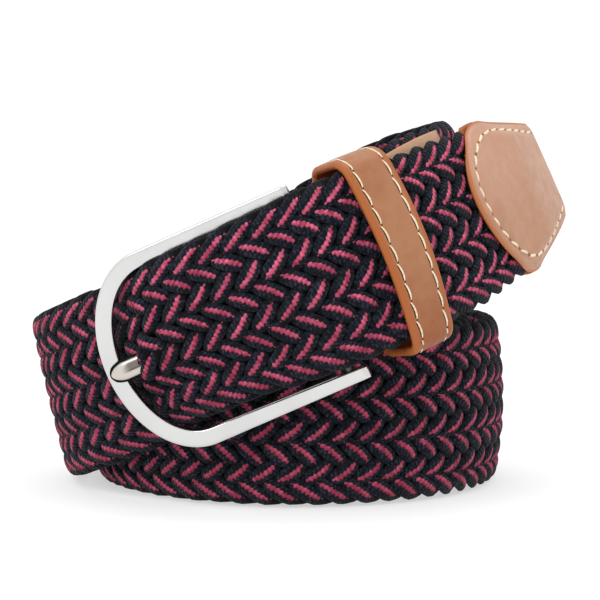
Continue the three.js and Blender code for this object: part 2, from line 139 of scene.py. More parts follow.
@dataclass
class Route:
    """The middle line of the strap, from the tip to the hinge bar."""

    half_width: float = 17.5
    turn_step: float = 5.1
    outer_radius: float = 45.35
    standing_height: float = 17.5
    cup: float = 1.8
    coil_axis: tuple[float, float] = (-4.1864, 7.0126)
    hinge: tuple[float, float, float, float] = (1433.48, 53.57, 44.36, 24.14)
    angle_step: float = 0.5
    rows: Array = field(init=False)
    slopes: Array = field(init=False)
    angles: Array = field(init=False)
    distances: Array = field(init=False)

    def __post_init__(self) -> None:
        """Tables the route's rows, their slopes and the distance along it."""
        self.rows = np.array(self._rows(), float)
        first = np.maximum(np.arange(len(self.rows)) - 1, 0)
        last = np.minimum(np.arange(len(self.rows)) + 1, len(self.rows) - 1)
        run = self.rows[last, :1] - self.rows[first, :1]
        self.slopes = (self.rows[last] - self.rows[first]) / run
        start, end = self.rows[0, 0], self.rows[-1, 0]
        self.angles = np.append(np.arange(start, end, self.angle_step), end)
        self.distances = run_along(self.centre(self.angles))

    def _rows(self) -> list[tuple[float, ...]]:
        """The rows: angle round the coil (0 in front, 90 at the left), radius, height, lean, cup.

        Returns:
            The rows in order, from the tip to the hinge bar.
        """
        stand, cup = self.standing_height, self.cup
        rows = [
            (-86, 55.6, 65.6, 23, 0.5),
            (-73, 52.5, 62.8, 23, 0.7),
            (-60, 50.8, 60.0, 23, 0.9),
            (-45, 51.6, 56.9, 23, 0.9),
            (-26, 55.2, 52.1, 23, 0.6),
            (-16, 57.6, 48.8, 23, 0.4),
            (-6, 59.2, 45.0, 23.5, 0.3),
            (4, 59.0, 41.2, 23.5, 0.8),
            (14, 58.4, 36.9, 23, 1.4),
            (22, 58.0, 33.2, 22.5, 3.8),
            (29, 55.2, 30.2, 22, 5.0),
            (35, 52.4, 27.8, 21, 4.8),
            (43, 51.4, 25.2, 19, 3.6),
            (56, 50.6, 21.8, 17, 1.6),
            (72, 48.4, 19.0, 14, 0.7),
            (90, 46.6, 17.9, 11, 0.3),
            (120, 45.9, stand, 6, 0.8),
            (150, 45.5, stand, 2, 1.5),
            (180, self.outer_radius, stand, 0, cup),
            (270, self.outer_radius, stand, 0, cup),
        ]
        step_in = [
            (-60, 0.0, 0),
            (-30, -0.5, 0),
            (0, -1.6, 0),
            (20, -3.4, 1),
            (40, -5.0, 2),
            (60, -5.6, 3.5),
            (80, -6.0, 4.5),
            (100, -6.2, 4.5),
            (135, -5.8, 2),
            (180, -5.2, 0),
        ]
        for turn in range(2):
            for angle, change, lean in step_in:
                radius = self.outer_radius - self.turn_step * turn + change
                rows.append((360 * (turn + 1) + angle, radius, stand, lean, cup))
        rows += [
            (1020, 35.1, stand, 0, cup),
            (1050, 34.6, stand, 0, cup),
            (1080, 33.4, 17.6, 0, cup),
            (1110, 30.9, 17.9, 3, cup),
            (1140, 28.4, 18.8, 5, cup),
            (1170, 26.7, 21.2, 7, cup),
            (1200, 25.8, 26.0, 9, cup),
            (1230, 25.7, 33.4, 11, cup),
            (1260, 25.0, 39.4, 11, cup),
            (1290, 24.2, 46.2, 10, cup),
            (1320, 28.3, 54.2, 15, cup),
            (1350, 39.0, 59.8, 22, 1.7),
            (1375, 43.4, 60.0, 24, 1.3),
            (1395, 44.8, 57.8, 23.5, 0.9),
            (1410, 47.4, 53.9, 23.3, 0.6),
            (1422, 50.6, 48.9, 23.7, 0.4),
            (*self.hinge, 0.1),
        ]
        return rows

    @property
    def length(self) -> float:
        """Distance from the tip to the hinge bar."""
        return float(self.distances[-1])

    def value(self, angle: Array, column: Column) -> Array:
        """Smooth value of one column, by cubic Hermite between the rows.

        Args:
            angle: angles round the coil.
            column: the column to read.

        Returns:
            One value for each angle.
        """
        last = len(self.rows) - 2
        row = np.clip(np.searchsorted(self.rows[:, 0], angle, side="left") - 1, 0, last)
        span = self.rows[row + 1, 0] - self.rows[row, 0]
        u = (angle - self.rows[row, 0]) / span
        start, end = self.rows[row, column.value], self.rows[row + 1, column.value]
        leave = self.slopes[row, column.value] * span
        reach = self.slopes[row + 1, column.value] * span
        u2, u3 = u * u, u * u * u
        return (
            (2 * u3 - 3 * u2 + 1) * start
            + (u3 - 2 * u2 + u) * leave
            + (3 * u2 - 2 * u3) * end
            + (u3 - u2) * reach
        )

    def centre(self, angle: Array) -> Array:
        """Middle of the strap at each angle, before the coil's axis is moved to its place.

        Args:
            angle: angles round the coil.

        Returns:
            Points in millimetres.
        """
        radius, turn = self.value(angle, Column.RADIUS), np.radians(angle)
        height = self.value(angle, Column.HEIGHT)
        return np.stack([-radius * np.sin(turn), -radius * np.cos(turn), height], axis=-1)

    def directions(self, angle: Array) -> tuple[Array, Array, Array]:
        """The directions along the belt, across it and out of its face.

        Args:
            angle: angles round the coil.

        Returns:
            Three directions for each angle.
        """
        along = unit(self.centre(angle + self.angle_step) - self.centre(angle - self.angle_step))
        lean = np.radians(self.value(angle, Column.LEAN))
        across = np.stack([-np.sin(lean), np.zeros_like(lean), np.cos(lean)], axis=-1)
        across = unit(across - along * np.sum(across * along, axis=-1, keepdims=True))
        return along, across, np.cross(across, along)

    def angle_at(self, distance: Array) -> Array:
        """Angle round the coil at each distance from the tip."""
        return np.interp(distance, self.distances, self.angles)

    def place(self, distance: Array, across: Array, out: Array) -> Array:
        """Turns belt space into metres.

        Args:
            distance: distance from the tip, in millimetres.
            across: height across from the strap's middle.
            out: height out of the strap's face.

        Returns:
            One point for each set of values, in metres.
        """
        distance, across, out = np.broadcast_arrays(distance, across, out)
        angle = self.angle_at(distance)
        along, up, front = self.directions(angle)
        bend = self.value(angle, Column.CUP) * (across / self.half_width) ** 2
        past = distance - np.clip(distance, 0.0, self.length)
        point = self.centre(angle) + along * past[..., None]
        point = point + up * across[..., None] + front * (out - bend)[..., None]
        return (point + [*self.coil_axis, 0.0]) * MM


# Meshes


def new_piece(name: str, mesh: Mesh, finish: "Finish", slot: Slot, node: str) -> Piece:
    """Makes a shown object of a bmesh, with its finish and its body.

    Args:
        name: the piece's name.
        mesh: its finished bmesh, which is freed.
        finish: the finish it wears.
        slot: not used.
        node: the solid that it stands in for, with others.

    Returns:
        The object.
    """
    data = bpy.data.meshes.new(name)
    mesh.to_mesh(data)
    mesh.free()
    data.shade_smooth()
    data.materials.append(finish.material())
    piece = bpy.data.objects.new(name, data)
    bpy.context.scene.collection.objects.link(piece)
    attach(piece, "root")
    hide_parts(node)
    LOG.info("%s: %d faces", name, len(data.polygons))
    return piece


def tube(points: Array, marks: dict[str, Array], capped: bool = True) -> Mesh:
    """A closed skin over loops of points, made from a grid whose long sides are merged.

    Args:
        points: loops by points by 3, in metres. The last point of a loop isn't the first one again.
        marks: a number for each point, by the name of the attribute that keeps it.
        capped: whether the two ends are filled, or else merged with each other.

    Returns:
        The bmesh.
    """
    wrapped = np.concatenate([points, points[:, :1]], axis=1)
    kept = {name: np.concatenate([mark, mark[:, :1]], axis=1) for name, mark in marks.items()}
    if not capped:
        wrapped = np.concatenate([wrapped, wrapped[:1]], axis=0)
        kept = {name: np.concatenate([mark, mark[:1]], axis=0) for name, mark in kept.items()}
    loops, sides = wrapped.shape[:2]
    mesh = bmesh.new()
    bmesh.ops.create_grid(mesh, x_segments=sides - 1, y_segments=loops - 1, size=1.0)
    layers = [(mesh.verts.layers.float.new(name), mark.reshape(-1)) for name, mark in kept.items()]
    flat = wrapped.reshape(-1, 3)
    for index, vert in enumerate(mesh.verts):
        vert.co = flat[index]
        for layer, mark in layers:
            vert[layer] = mark[index]
    bmesh.ops.remove_doubles(mesh, verts=mesh.verts, dist=MERGE_WITHIN)
    if capped:
        open_edges = [edge for edge in mesh.edges if edge.is_boundary]
        bmesh.ops.holes_fill(mesh, edges=open_edges, sides=0)
    bmesh.ops.recalc_face_normals(mesh, faces=mesh.faces)
    return mesh


def rounded_strip(
    half_width: float, half_thickness: float, radius: float, spans: int, corner: int = 3
) -> Array:
    """Outline of a flat strip with round corners, anticlockwise, as (across, out) rows.

    Args:
        half_width: half of its width.
        half_thickness: half of its thickness.
        radius: radius of the corners.
        spans: parts of each long side.
        corner: parts of each corner.

    Returns:
        The outline's points.
    """
    points = []
    inner, flat = half_width - radius, half_thickness - radius
    for sign_x, sign_y, start in ((1, -1, -90), (1, 1, 0), (-1, 1, 90), (-1, -1, 180)):
        for i in range(corner + 1):
            turn = math.radians(start + 90 * i / corner)
            x, y = sign_x * inner + radius * math.cos(turn), sign_y * flat + radius * math.sin(turn)
            points.append((x, y))
        if sign_x * sign_y > 0:
            shares = [1 - 2 * i / spans for i in range(1, spans)]
            points += [(sign_x * inner * share, sign_y * half_thickness) for share in shares]
    return np.array(points)


# Finishes


class Nodes:
    """Short ways to add shader nodes to a material."""

    def __init__(self, name: str) -> None:
        """Makes the material and its shader.

        Args:
            name: the material's name.
        """
        self.material = bpy.data.materials.new(name)
        self.material.use_nodes = True
        self.tree = self.material.node_tree
        self.shader = self.tree.nodes["Principled BSDF"]

    def link(self, source: Socket, target: Socket) -> None:
        """Joins two sockets."""
        self.tree.links.new(source, target)

    def put(self, target: Socket, value: object) -> None:
        """Links a socket to the target, or sets the target's own value.

        Args:
            target: the socket to feed.
            value: a socket or a plain value.
        """
        if isinstance(value, Socket):
            self.link(value, target)
        else:
            target.default_value = value

    def attribute(self, name: str) -> Socket:
        """A number that the mesh keeps at each point.

        Args:
            name: the attribute's name.

        Returns:
            Its socket.
        """
        node = self.tree.nodes.new("ShaderNodeAttribute")
        node.attribute_name = name
        return node.outputs["Fac"]

    def place(self) -> Socket:
        """The point's place on the object, in metres."""
        return self.tree.nodes.new("ShaderNodeTexCoord").outputs["Object"]

    def split(self, vector: Socket) -> tuple[Socket, ...]:
        """The three numbers of a vector.

        Args:
            vector: the vector's socket.

        Returns:
            Sockets for X, Y and Z.
        """
        node = self.tree.nodes.new("ShaderNodeSeparateXYZ")
        self.link(vector, node.inputs[0])
        return tuple(node.outputs)

    def math(self, operation: str, *values: object) -> Socket:
        """One step of arithmetic.

        Args:
            operation: Blender's name for the step.
            *values: sockets or numbers.

        Returns:
            The result's socket.
        """
        node = self.tree.nodes.new("ShaderNodeMath")
        node.operation = operation
        for index, value in enumerate(values):
            self.put(node.inputs[index], value)
        return node.outputs[0]

    def times(self, first: object, second: object) -> Socket:
        """The product of two values."""
        return self.math("MULTIPLY", first, second)

    def plus(self, first: object, second: object) -> Socket:
        """The sum of two values."""
        return self.math("ADD", first, second)

    def line(self, value: object, factor: object, more: object) -> Socket:
        """A value times a factor, plus more."""
        return self.math("MULTIPLY_ADD", value, factor, more)

    def height(self) -> Socket:
        """The point's height on the object, in metres."""
        return self.split(self.place())[2]

    def ramp(
        self, value: object, low: float, high: float, to_low: float = 0.0, to_high: float = 1.0
    ) -> Socket:
        """A smooth change of a value from one range to another.

        Args:
            value: the socket to read.
            low: where the change starts.
            high: where it ends.
            to_low: what it gives at the start.
            to_high: what it gives at the end.

        Returns:
            The result's socket.
        """
        node = self.tree.nodes.new("ShaderNodeMapRange")
        node.interpolation_type = "SMOOTHSTEP"
        numbers = {"From Min": low, "From Max": high, "To Min": to_low, "To Max": to_high, "Value": value}
        for name, number in numbers.items():
            self.put(node.inputs[name], number)
        return node.outputs["Result"]

    def mix(self, share: object, first: object, second: object) -> Socket:
        """A blend of two colours.

        Args:
            share: how much of the second one.
            first: the first colour.
            second: the second colour.

        Returns:
            The blend's socket.
        """
        node = self.tree.nodes.new("ShaderNodeMix")
        node.data_type = "RGBA"
        self.put(node.inputs["Factor"], share)
        self.put(node.inputs["A"], first)
        self.put(node.inputs["B"], second)
        return node.outputs["Result"]

    def noise(self, scale: float, detail: float = 2.0, roughness: float = 0.5) -> Socket:
        """Cloudy noise.

        Args:
            scale: features per metre.
            detail: how many finer layers it has.
            roughness: how strong these are.

        Returns:
            The noise's socket.
        """
        node = self.tree.nodes.new("ShaderNodeTexNoise")
        node.inputs["Scale"].default_value = scale
        node.inputs["Detail"].default_value = detail
        node.inputs["Roughness"].default_value = roughness
        self.link(self.place(), node.inputs["Vector"])
        return node.outputs["Fac"]

    def cells(self, scale: float) -> Socket:
        """Distance to the middle of the nearest cell.

        Args:
            scale: cells per metre.

        Returns:
            The distance's socket.
        """
        node = self.tree.nodes.new("ShaderNodeTexVoronoi")
        node.inputs["Scale"].default_value = scale
        self.link(self.place(), node.inputs["Vector"])
        return node.outputs["Distance"]

    def bump(self, height: Socket, depth: float) -> None:
        """Raises the surface by height times depth, in metres.

        Args:
            height: the relief's socket.
            depth: how far a height of one stands out.
        """
        node = self.tree.nodes.new("ShaderNodeBump")
        node.inputs["Distance"].default_value = depth
        self.link(height, node.inputs["Height"])
        self.link(node.outputs["Normal"], self.shader.inputs["Normal"])

    def colour(self, value: object) -> None:
        """Sets the base colour."""
        self.put(self.shader.inputs["Base Color"], value)

    def fixed(self, **values: float) -> None:
        """Sets the shader's own numbers, named in words joined by underscores."""
        for name, value in values.items():
            self.shader.inputs[name.replace("_", " ").title().replace("Ior", "IOR")].default_value = value


@dataclass(frozen=True)
class Finish:
    """A finish. Each kind makes its material once."""

    name: str = "finish"

    def material(self) -> bpy.types.Material:
        """Returns the material, made at its first use."""
        return bpy.data.materials.get(self.name) or self.make()

    def make(self) -> bpy.types.Material:
        """Makes the material."""
        raise NotImplementedError


@dataclass(frozen=True)
class WovenCord(Finish):
    """Knitted elastic cord, dark with a chain of bright loops along its middle.

    Lengths along and across the cord are in millimetres. A cloud holds the scale, the detail and the
    roughness of a noise. A ramp holds two values, and what a smooth change between them goes from and to.
    A share holds a factor and what is added to it.
    The colour holds painted light and shade: a painted highlight on each loop of the stripe, brighter
    towards the top of the belt, painted shade in the stripe's creases and on its lower side, a painted
    sheen on the dark rib tops, and near black in the hollows where a cord dives.
    """

    name: str = "navy_and_crimson_cord"
    dark: Colour = (0.0022, 0.0028, 0.0072, 1)
    # Lighter flecks on the dark cord, partly the fibres' own colour and partly a painted sheen.
    rib_fleck_and_sheen: Colour = (0.044, 0.054, 0.080, 1)
    dull_rib_fleck_and_sheen: Colour = (0.021, 0.031, 0.037, 1)
    # Painted shade: the near-black colour where a cord dives under others and in the crook beside the
    # frame.
    painted_hollow_shade: Colour = (0.0010, 0.0012, 0.0024, 1)
    # The stripe's pink, from a darker crimson in painted shade to the loops' colour with a painted
    # highlight.
    stripe: Colour = (0.165, 0.0075, 0.028, 1)
    stripe_bead_highlight: Colour = (0.78, 0.155, 0.265, 1)
    loop: float = 0.80
    stripe_half: float = 0.47
    lower_swell: float = 0.17
    upper_swell: float = 0.085
    stripe_slant: float = 0.16
    stripe_fray: float = 0.3
    rib_slant: float = 0.35
    rib_wobble: float = 0.5
    fibre_cloud: Numbers = (5200.0, 3.0, 0.65)
    fleck_cloud: Numbers = (1500.0, 2.0, 0.6)
    patch_cloud: Numbers = (300.0, 2.0, 0.6)
    wobble_cloud: Numbers = (800.0, 1.0)
    stripe_fade_ramp: Numbers = (0.64, 0.86, -0.45, 0.0)
    stripe_edge_ramp: Numbers = (-0.12, 0.10)
    painted_hollow_ramp: Numbers = (0.30, 0.76)
    dull_patch_ramp: Numbers = (0.35, 0.65)
    rib_fleck_ramp: Numbers = (0.42, 0.64, 0.06, 1.0)
    rib_fibre_ramp: Numbers = (0.30, 0.62, 0.25, 1.0)
    painted_side_shade_ramp: Numbers = (-0.50, 0.10, 0.40, 1.0)
    bright_patch_ramp: Numbers = (0.30, 0.66, 0.40, 1.0)
    bright_fleck_ramp: Numbers = (0.34, 0.62, 0.35, 1.0)
    # Painted light: the stripe brightens towards the top of the belt.
    painted_top_light_ramp: Numbers = (0.018, 0.062, 0.60, 1.15)
    rib_top_sheen_share: Numbers = (0.7, 0.25)
    bead_highlight_share: Numbers = (0.35, 0.65)
    rib_relief: float = 0.55
    bead_relief: Numbers = (0.35, 0.55)
    fibre_relief: float = 0.6
    depth: float = 0.00028

    def make(self) -> bpy.types.Material:
        """Makes the material from the place along the cord, across it and over the braid's middle.

        Returns:
            The material.
        """
        n = Nodes(self.name)
        along, side, rise = n.attribute("along"), n.attribute("side"), n.attribute("rise")
        fibre, fleck = n.noise(*self.fibre_cloud), n.noise(*self.fleck_cloud)
        patch = n.noise(*self.patch_cloud)
        row = n.math("DIVIDE", n.line(side, self.stripe_slant, along), self.loop)
        tooth = n.math("COSINE", n.times(row, 2 * math.pi))
        stripe = self.stripe_at(n, side, rise, tooth, fleck)
        wobble = n.line(n.noise(*self.wobble_cloud), self.rib_wobble, -self.rib_wobble / 2)
        rib_row = n.line(n.math("ABSOLUTE", side), self.rib_slant, n.plus(along, wobble))
        rib = n.math("COSINE", n.times(rib_row, 2 * math.pi / self.loop))
        rib, bead = n.line(rib, 0.5, 0.5), n.line(tooth, 0.5, 0.5)
        # Lighter fibre flecks, partly their own colour and partly a painted sheen that is strongest on the
        # rib tops.
        fleck_and_sheen_mask = n.times(n.ramp(fleck, *self.rib_fleck_ramp), n.line(rib, *self.rib_top_sheen_share))
        fleck_and_sheen_mask = n.times(fleck_and_sheen_mask, n.ramp(fibre, *self.rib_fibre_ramp))
        fleck_and_sheen_colour = n.mix(n.ramp(patch, *self.dull_patch_ramp), self.dull_rib_fleck_and_sheen, self.rib_fleck_and_sheen)
        # Painted highlight and shade on the stripe: lighter on each loop, darker on its lower side, with
        # random patches and flecks.
        glow = n.times(n.line(bead, *self.bead_highlight_share), n.ramp(side, *self.painted_side_shade_ramp))
        glow = n.times(glow, n.ramp(patch, *self.bright_patch_ramp))
        glow = n.times(glow, n.ramp(fleck, *self.bright_fleck_ramp))
        # Painted light: the stripe is brighter the higher it stands on the belt.
        glow = n.times(glow, n.ramp(n.height(), *self.painted_top_light_ramp))
        stripe_with_painted_light = n.mix(glow, self.stripe, self.stripe_bead_highlight)
        body = n.mix(stripe, n.mix(fleck_and_sheen_mask, self.dark, fleck_and_sheen_colour), stripe_with_painted_light)
        # Painted shade: the cord turns near black where its rise mark is low.
        n.colour(n.mix(n.ramp(rise, *self.painted_hollow_ramp), self.painted_hollow_shade, body))
        plain = n.times(n.times(rib, self.rib_relief), n.math("SUBTRACT", 1.0, stripe))
        beaded = n.times(n.line(bead, *self.bead_relief), stripe)
        n.bump(n.line(fibre, self.fibre_relief, n.plus(plain, beaded)), self.depth)
        n.fixed(roughness=0.8, sheen_weight=0.04, sheen_roughness=0.4, specular_ior_level=0.14)
        return n.material

    def stripe_at(self, n: "Nodes", side: Socket, rise: Socket, tooth: Socket, fleck: Socket) -> Socket:
        """How far a point lies in the stripe.

        Args:
            n: the material's nodes.
            side: place across the cord.
            rise: height over the braid's middle, as a share, lowered by painted shade in the crook beside
                the frame; the stripe narrows and the cord darkens where it is low.
            tooth: the wave of the chain's loops.
            fleck: a noise that frays the stripe's edge.

        Returns:
            1 in the stripe and 0 beside it.
        """
        lower = n.plus(n.line(tooth, self.lower_swell, self.stripe_half), side)
        upper = n.math("SUBTRACT", n.line(tooth, self.upper_swell, self.stripe_half), side)
        reach = n.plus(n.math("MINIMUM", lower, upper), n.ramp(rise, *self.stripe_fade_ramp))
        reach = n.plus(reach, n.line(fleck, self.stripe_fray, -self.stripe_fray / 2))
        return n.ramp(reach, *self.stripe_edge_ramp)


@dataclass(frozen=True)
class TanLeather(Finish):
    """Smooth tan leather, darker and redder where the edge was burnished, with painted shade that darkens
    it towards the bottom.
    """

    name: str = "burnished_tan_leather"
    face: Colour = (0.485, 0.256, 0.160, 1)
    # Painted shade: the face colour low down.
    face_shaded_low: Colour = (0.37, 0.165, 0.080, 1)
    edge: Colour = (0.40, 0.125, 0.030, 1)
    edge_start: float = 0.75
    edge_full: float = 0.20
    edge_fray: float = 0.5
    low_shade_ramp: Numbers = (0.072, 0.044)
    low_shade_share: float = 0.7
    gloss: float = 0.45
    coat: float = 0.12
    cloud: Numbers = (55.0, 3.0, 0.55)
    cloud_ramp: Numbers = (0.35, 0.70, -0.05, 0.32)
    mottle: Numbers = (420.0, 4.0, 0.6)
    mottle_ramp: Numbers = (0.35, 0.65, -0.08, 0.12)
    roughness_ramp: Numbers = (0.2, 0.8, 0.36, 0.52)
    grain_scale: float = 1500.0
    grain_relief: float = 0.7
    pore_cloud: Numbers = (2600.0, 2.0)
    pore_relief: float = 0.35
    depth: float = 0.00005

    def make(self) -> bpy.types.Material:
        """Makes the material. The rim attribute is the distance to the nearest edge.

        Returns:
            The material.
        """
        n = Nodes(self.name)
        mottle = n.noise(*self.mottle)
        # Painted shade: darker towards the bottom, mixed with random cloudy and mottled tone.
        low = n.ramp(n.height(), *self.low_shade_ramp)
        low_shade_and_mottle = n.line(low, self.low_shade_share, n.ramp(n.noise(*self.cloud), *self.cloud_ramp))
        low_shade_and_mottle = n.plus(low_shade_and_mottle, n.ramp(mottle, *self.mottle_ramp))
        worn = n.line(mottle, self.edge_fray, n.attribute("rim"))
        fray = self.edge_fray / 2
        burnt = n.ramp(worn, self.edge_start + fray, self.edge_full + fray)
        n.colour(n.mix(burnt, n.mix(low_shade_and_mottle, self.face, self.face_shaded_low), self.edge))
        pores = n.times(n.noise(*self.pore_cloud), self.pore_relief)
        n.bump(n.line(n.cells(self.grain_scale), self.grain_relief, pores), self.depth)
        n.link(n.ramp(mottle, *self.roughness_ramp), n.shader.inputs["Roughness"])
        n.fixed(specular_ior_level=self.gloss, coat_weight=self.coat, coat_roughness=0.3)
        return n.material


@dataclass(frozen=True)
class Thread(Finish):
    """Waxed cream thread of twisted plies."""

    name: str = "cream_thread"
    light: Colour = (0.90, 0.80, 0.62, 1)
    shade: Colour = (0.66, 0.52, 0.33, 1)
    plies: Numbers = (3800.0, 2.0, 0.6)
    ply_ramp: Numbers = (0.35, 0.65)
    depth: float = 0.00008
    roughness: float = 0.6
    specular: float = 0.5
    sheen: float = 0.1

    def make(self) -> bpy.types.Material:
        """Makes the material.

        Returns:
            The material.
        """
        n = Nodes(self.name)
        plies = n.noise(*self.plies)
        n.colour(n.mix(n.ramp(plies, *self.ply_ramp), self.shade, self.light))
        n.bump(plies, self.depth)
        n.fixed(roughness=self.roughness, specular_ior_level=self.specular, sheen_weight=self.sheen)
        return n.material


@dataclass(frozen=True)
class PinholeShade(Thread):
    """Painted shade: a near-black sheet inside the braid, seen only through its pinholes, that stands in
    for the shade there.
    """

    name: str = "pinhole_shade_sheet"
    light: Colour = (0.0060, 0.0075, 0.0120, 1)
    shade: Colour = (0.0018, 0.0022, 0.0042, 1)
    plies: Numbers = (2400.0, 3.0, 0.6)
    depth: float = 0.0001
    roughness: float = 0.95
    specular: float = 0.05
    sheen: float = 0.0


@dataclass(frozen=True)
class PunchedHole(Finish):
    """The dark inside of the holes that the thread goes through; a darker copy also colours painted shadow
    lines beside stitches.
    """

    name: str = "punched_hole"
    shade: Colour = (0.24, 0.090, 0.030, 1)

    def make(self) -> bpy.types.Material:
        """Makes the material.

        Returns:
            The material.
        """
        n = Nodes(self.name)
        n.colour(self.shade)
        n.fixed(roughness=0.9, specular_ior_level=0.05)
        return n.material


@dataclass(frozen=True)
class SatinMetal(Finish):
    """Plated metal with a fine satin surface, darkened by painted reflection and shade where its dark-mark
    attribute says so.
    """

    name: str = "satin_silver"
    base: Colour = (0.645, 0.645, 0.64, 1)
    low_roughness: float = 0.16
    high_roughness: float = 0.24
    # Painted reflection and shade: the dark colour of the marked places.
    painted_reflection_colour: Colour = (0.060, 0.046, 0.036, 1)
    haze_share: float = 0.94
    haze: Numbers = (90.0, 2.0)
    grain: Numbers = (420.0, 3.0, 0.6)
    middle: Numbers = (0.3, 0.7)
    depth: float = 0.000012

    def make(self) -> bpy.types.Material:
        """Makes the material.

        Returns:
            The material.
        """
        n = Nodes(self.name)
        grain = n.noise(*self.grain)
        hazy = tuple(self.haze_share * c for c in self.base[:3]) + (1,)
        clean = n.mix(n.ramp(n.noise(*self.haze), *self.middle), self.base, hazy)
        # Painted reflection and shade: the marked places are mixed towards the dark colour.
        n.colour(n.mix(n.attribute("painted_dark_reflection"), clean, self.painted_reflection_colour))
        roughness = n.ramp(grain, *self.middle, self.low_roughness, self.high_roughness)
        n.link(roughness, n.shader.inputs["Roughness"])
        n.bump(grain, self.depth)
        n.fixed(metallic=1.0)
        return n.material


@dataclass(frozen=True)
class StudioFloor(Finish):
    """Pale matt sheet, lit a little from below."""

    name: str = "studio_floor"
    shade: Colour = (0.46, 0.46, 0.46, 1)
    glow: float = 0.56

    def make(self) -> bpy.types.Material:
        """Makes the material.

        Returns:
            The material.
        """
        n = Nodes(self.name)
        n.colour(self.shade)
        n.shader.inputs["Emission Color"].default_value = (1, 1, 1, 1)
        n.fixed(roughness=0.9, specular_ior_level=0.1, emission_strength=self.glow)
        return n.material


# Sub-assemblies


@dataclass
class Stitching:
    """Rows of stitches on one leather piece: beads of thread between dark holes.

    A stitch's ends dive into the leather and its middle may bow sideways.
    Its shadow is half the width of a painted shadow: a dark line on the leather beside it, or 0 where there
    is none.
    """

    name: str
    node: str
    pitch: float = 3.3
    length: float = 2.5
    radius: float = 0.31
    slant: float = 0.0
    dive: float = 0.3
    bow: float = 0.0
    lift: float = 0.05
    flatness: float = 0.85
    roundness: float = 0.45
    hole_radius: float = 0.36
    hole_height: float = 0.07
    hole_shape: float = 0.8
    shadow: float = 0.0
    shadow_gap: float = 0.02
    shadow_height: float = 0.09
    shadow_share: float = 0.46
    threads: Mesh = field(default_factory=bmesh.new)
    # Holes, and any painted shadow lines beside the stitches.
    holes: Mesh = field(default_factory=bmesh.new)

    def add_row(self, points: Array, outward: Array) -> None:
        """Adds a row.

        Args:
            points: points of the leather's face along the row, in metres.
            outward: the direction out of the face at each point.
        """
        run = run_along(points) / MM
        count = int(run[-1] // self.pitch)
        pitch = run[-1] / count
        reach = self.length / 2 / math.cos(math.radians(self.slant))
        for index in range(count):
            middle = pitch * (index + 0.5)
            start, end = read_line(points, run, middle - reach), read_line(points, run, middle + reach)
            normal = read_line(outward, run, middle).normalized()
            forward = (end - start).normalized()
            normal = (normal - forward * normal.dot(forward)).normalized()
            forward = Matrix.Rotation(math.radians(self.slant), 3, normal) @ forward
            centre = (read_line(points, run, middle) * 2 + start + end) / 4
            self.add_bead(centre, forward, normal)
            if self.shadow:
                self.add_shadow(centre, forward, normal)
            self.add_hole(read_line(points, run, pitch * index), forward, normal)

    def bowed(self, along: float) -> float:
        """How far a stitch lies aside at a share of its half length."""
        return self.bow * (0.5 - along**2)

    def add_bead(self, centre: Vector, forward: Vector, normal: Vector) -> None:
        """Adds one stitch: a round bar whose ends dip into the leather.

        Args:
            centre: its middle.
            forward: the direction along it.
            normal: the direction out of the leather.
        """
        made = bmesh.ops.create_uvsphere(self.threads, u_segments=8, v_segments=8, radius=1.0)["verts"]
        for vert in made:
            ring = math.hypot(vert.co.x, vert.co.y)
            fuller = ring**-self.roundness if ring > 0.01 else 1.0
            thick, along = fuller * self.radius, vert.co.z
            vert.co = Vector((vert.co.x * thick, vert.co.y * thick * self.flatness, 0.0))
            vert.co.x += self.bowed(along)
            vert.co.y += self.lift - self.dive * along**4
            vert.co.z = along * self.length / 2
        self.set_down(self.threads, made, centre, forward, normal)

    def add_shadow(self, centre: Vector, forward: Vector, normal: Vector) -> None:
        """Adds a painted shadow: a dark line on the leather beside one stitch.

        Args:
            centre: the stitch's middle.
            forward: the direction along it.
            normal: the direction out of the leather.
        """
        made = bmesh.ops.create_uvsphere(self.holes, u_segments=6, v_segments=8, radius=1.0)["verts"]
        for vert in made:
            aside = self.bowed(vert.co.z) + self.radius + self.shadow_gap
            height = vert.co.y * self.shadow_height + self.lift
            along = vert.co.z * self.length * self.shadow_share
            vert.co = Vector((vert.co.x * self.shadow + aside, height, along))
        self.set_down(self.holes, made, centre, forward, normal)

    def add_hole(self, centre: Vector, forward: Vector, normal: Vector) -> None:
        """Adds the dark mark of one hole.

        Args:
            centre: its middle.
            forward: the direction along the stitch.
            normal: the direction out of the leather.
        """
        size = Matrix.Diagonal((self.hole_radius, self.hole_height, self.hole_radius * self.hole_shape, 1))
        made = bmesh.ops.create_uvsphere(self.holes, u_segments=8, v_segments=4, radius=1.0, matrix=size)
        self.set_down(self.holes, made["verts"], centre, forward, normal)

    @staticmethod
    def set_down(
        mesh: Mesh, made: list[bmesh.types.BMVert], centre: Vector, forward: Vector, normal: Vector
    ) -> None:
        """Moves new points from their own millimetres to their place.

        Args:
            mesh: the bmesh that they are in.
            made: the new points.
            centre: where their middle goes.
            forward: where their z goes, along the row.
            normal: where their y goes, out of the leather.
        """
        turn = Matrix((normal.cross(forward), normal, forward)).transposed().to_4x4()
        place = Matrix.Translation(centre) @ turn @ Matrix.Scale(MM, 4)
        bmesh.ops.transform(mesh, matrix=place, verts=made)

    def build(self, thread: Finish, hole: Finish) -> list[Piece]:
        """Makes the pieces of the stitches and of their holes, with any painted shadow lines.

        Args:
            thread: the finish of the stitches.
            hole: the finish of their holes and of any painted shadow lines.

        Returns:
            The two pieces.
        """
        pieces = []
        for mesh, finish, kind in ((self.threads, thread, "stitches"), (self.holes, hole, "stitch_holes")):
            bmesh.ops.recalc_face_normals(mesh, faces=mesh.faces)
            pieces.append(new_piece(f"{self.name}_{kind}", mesh, finish, Slot.LEATHER, self.node))
        return pieces


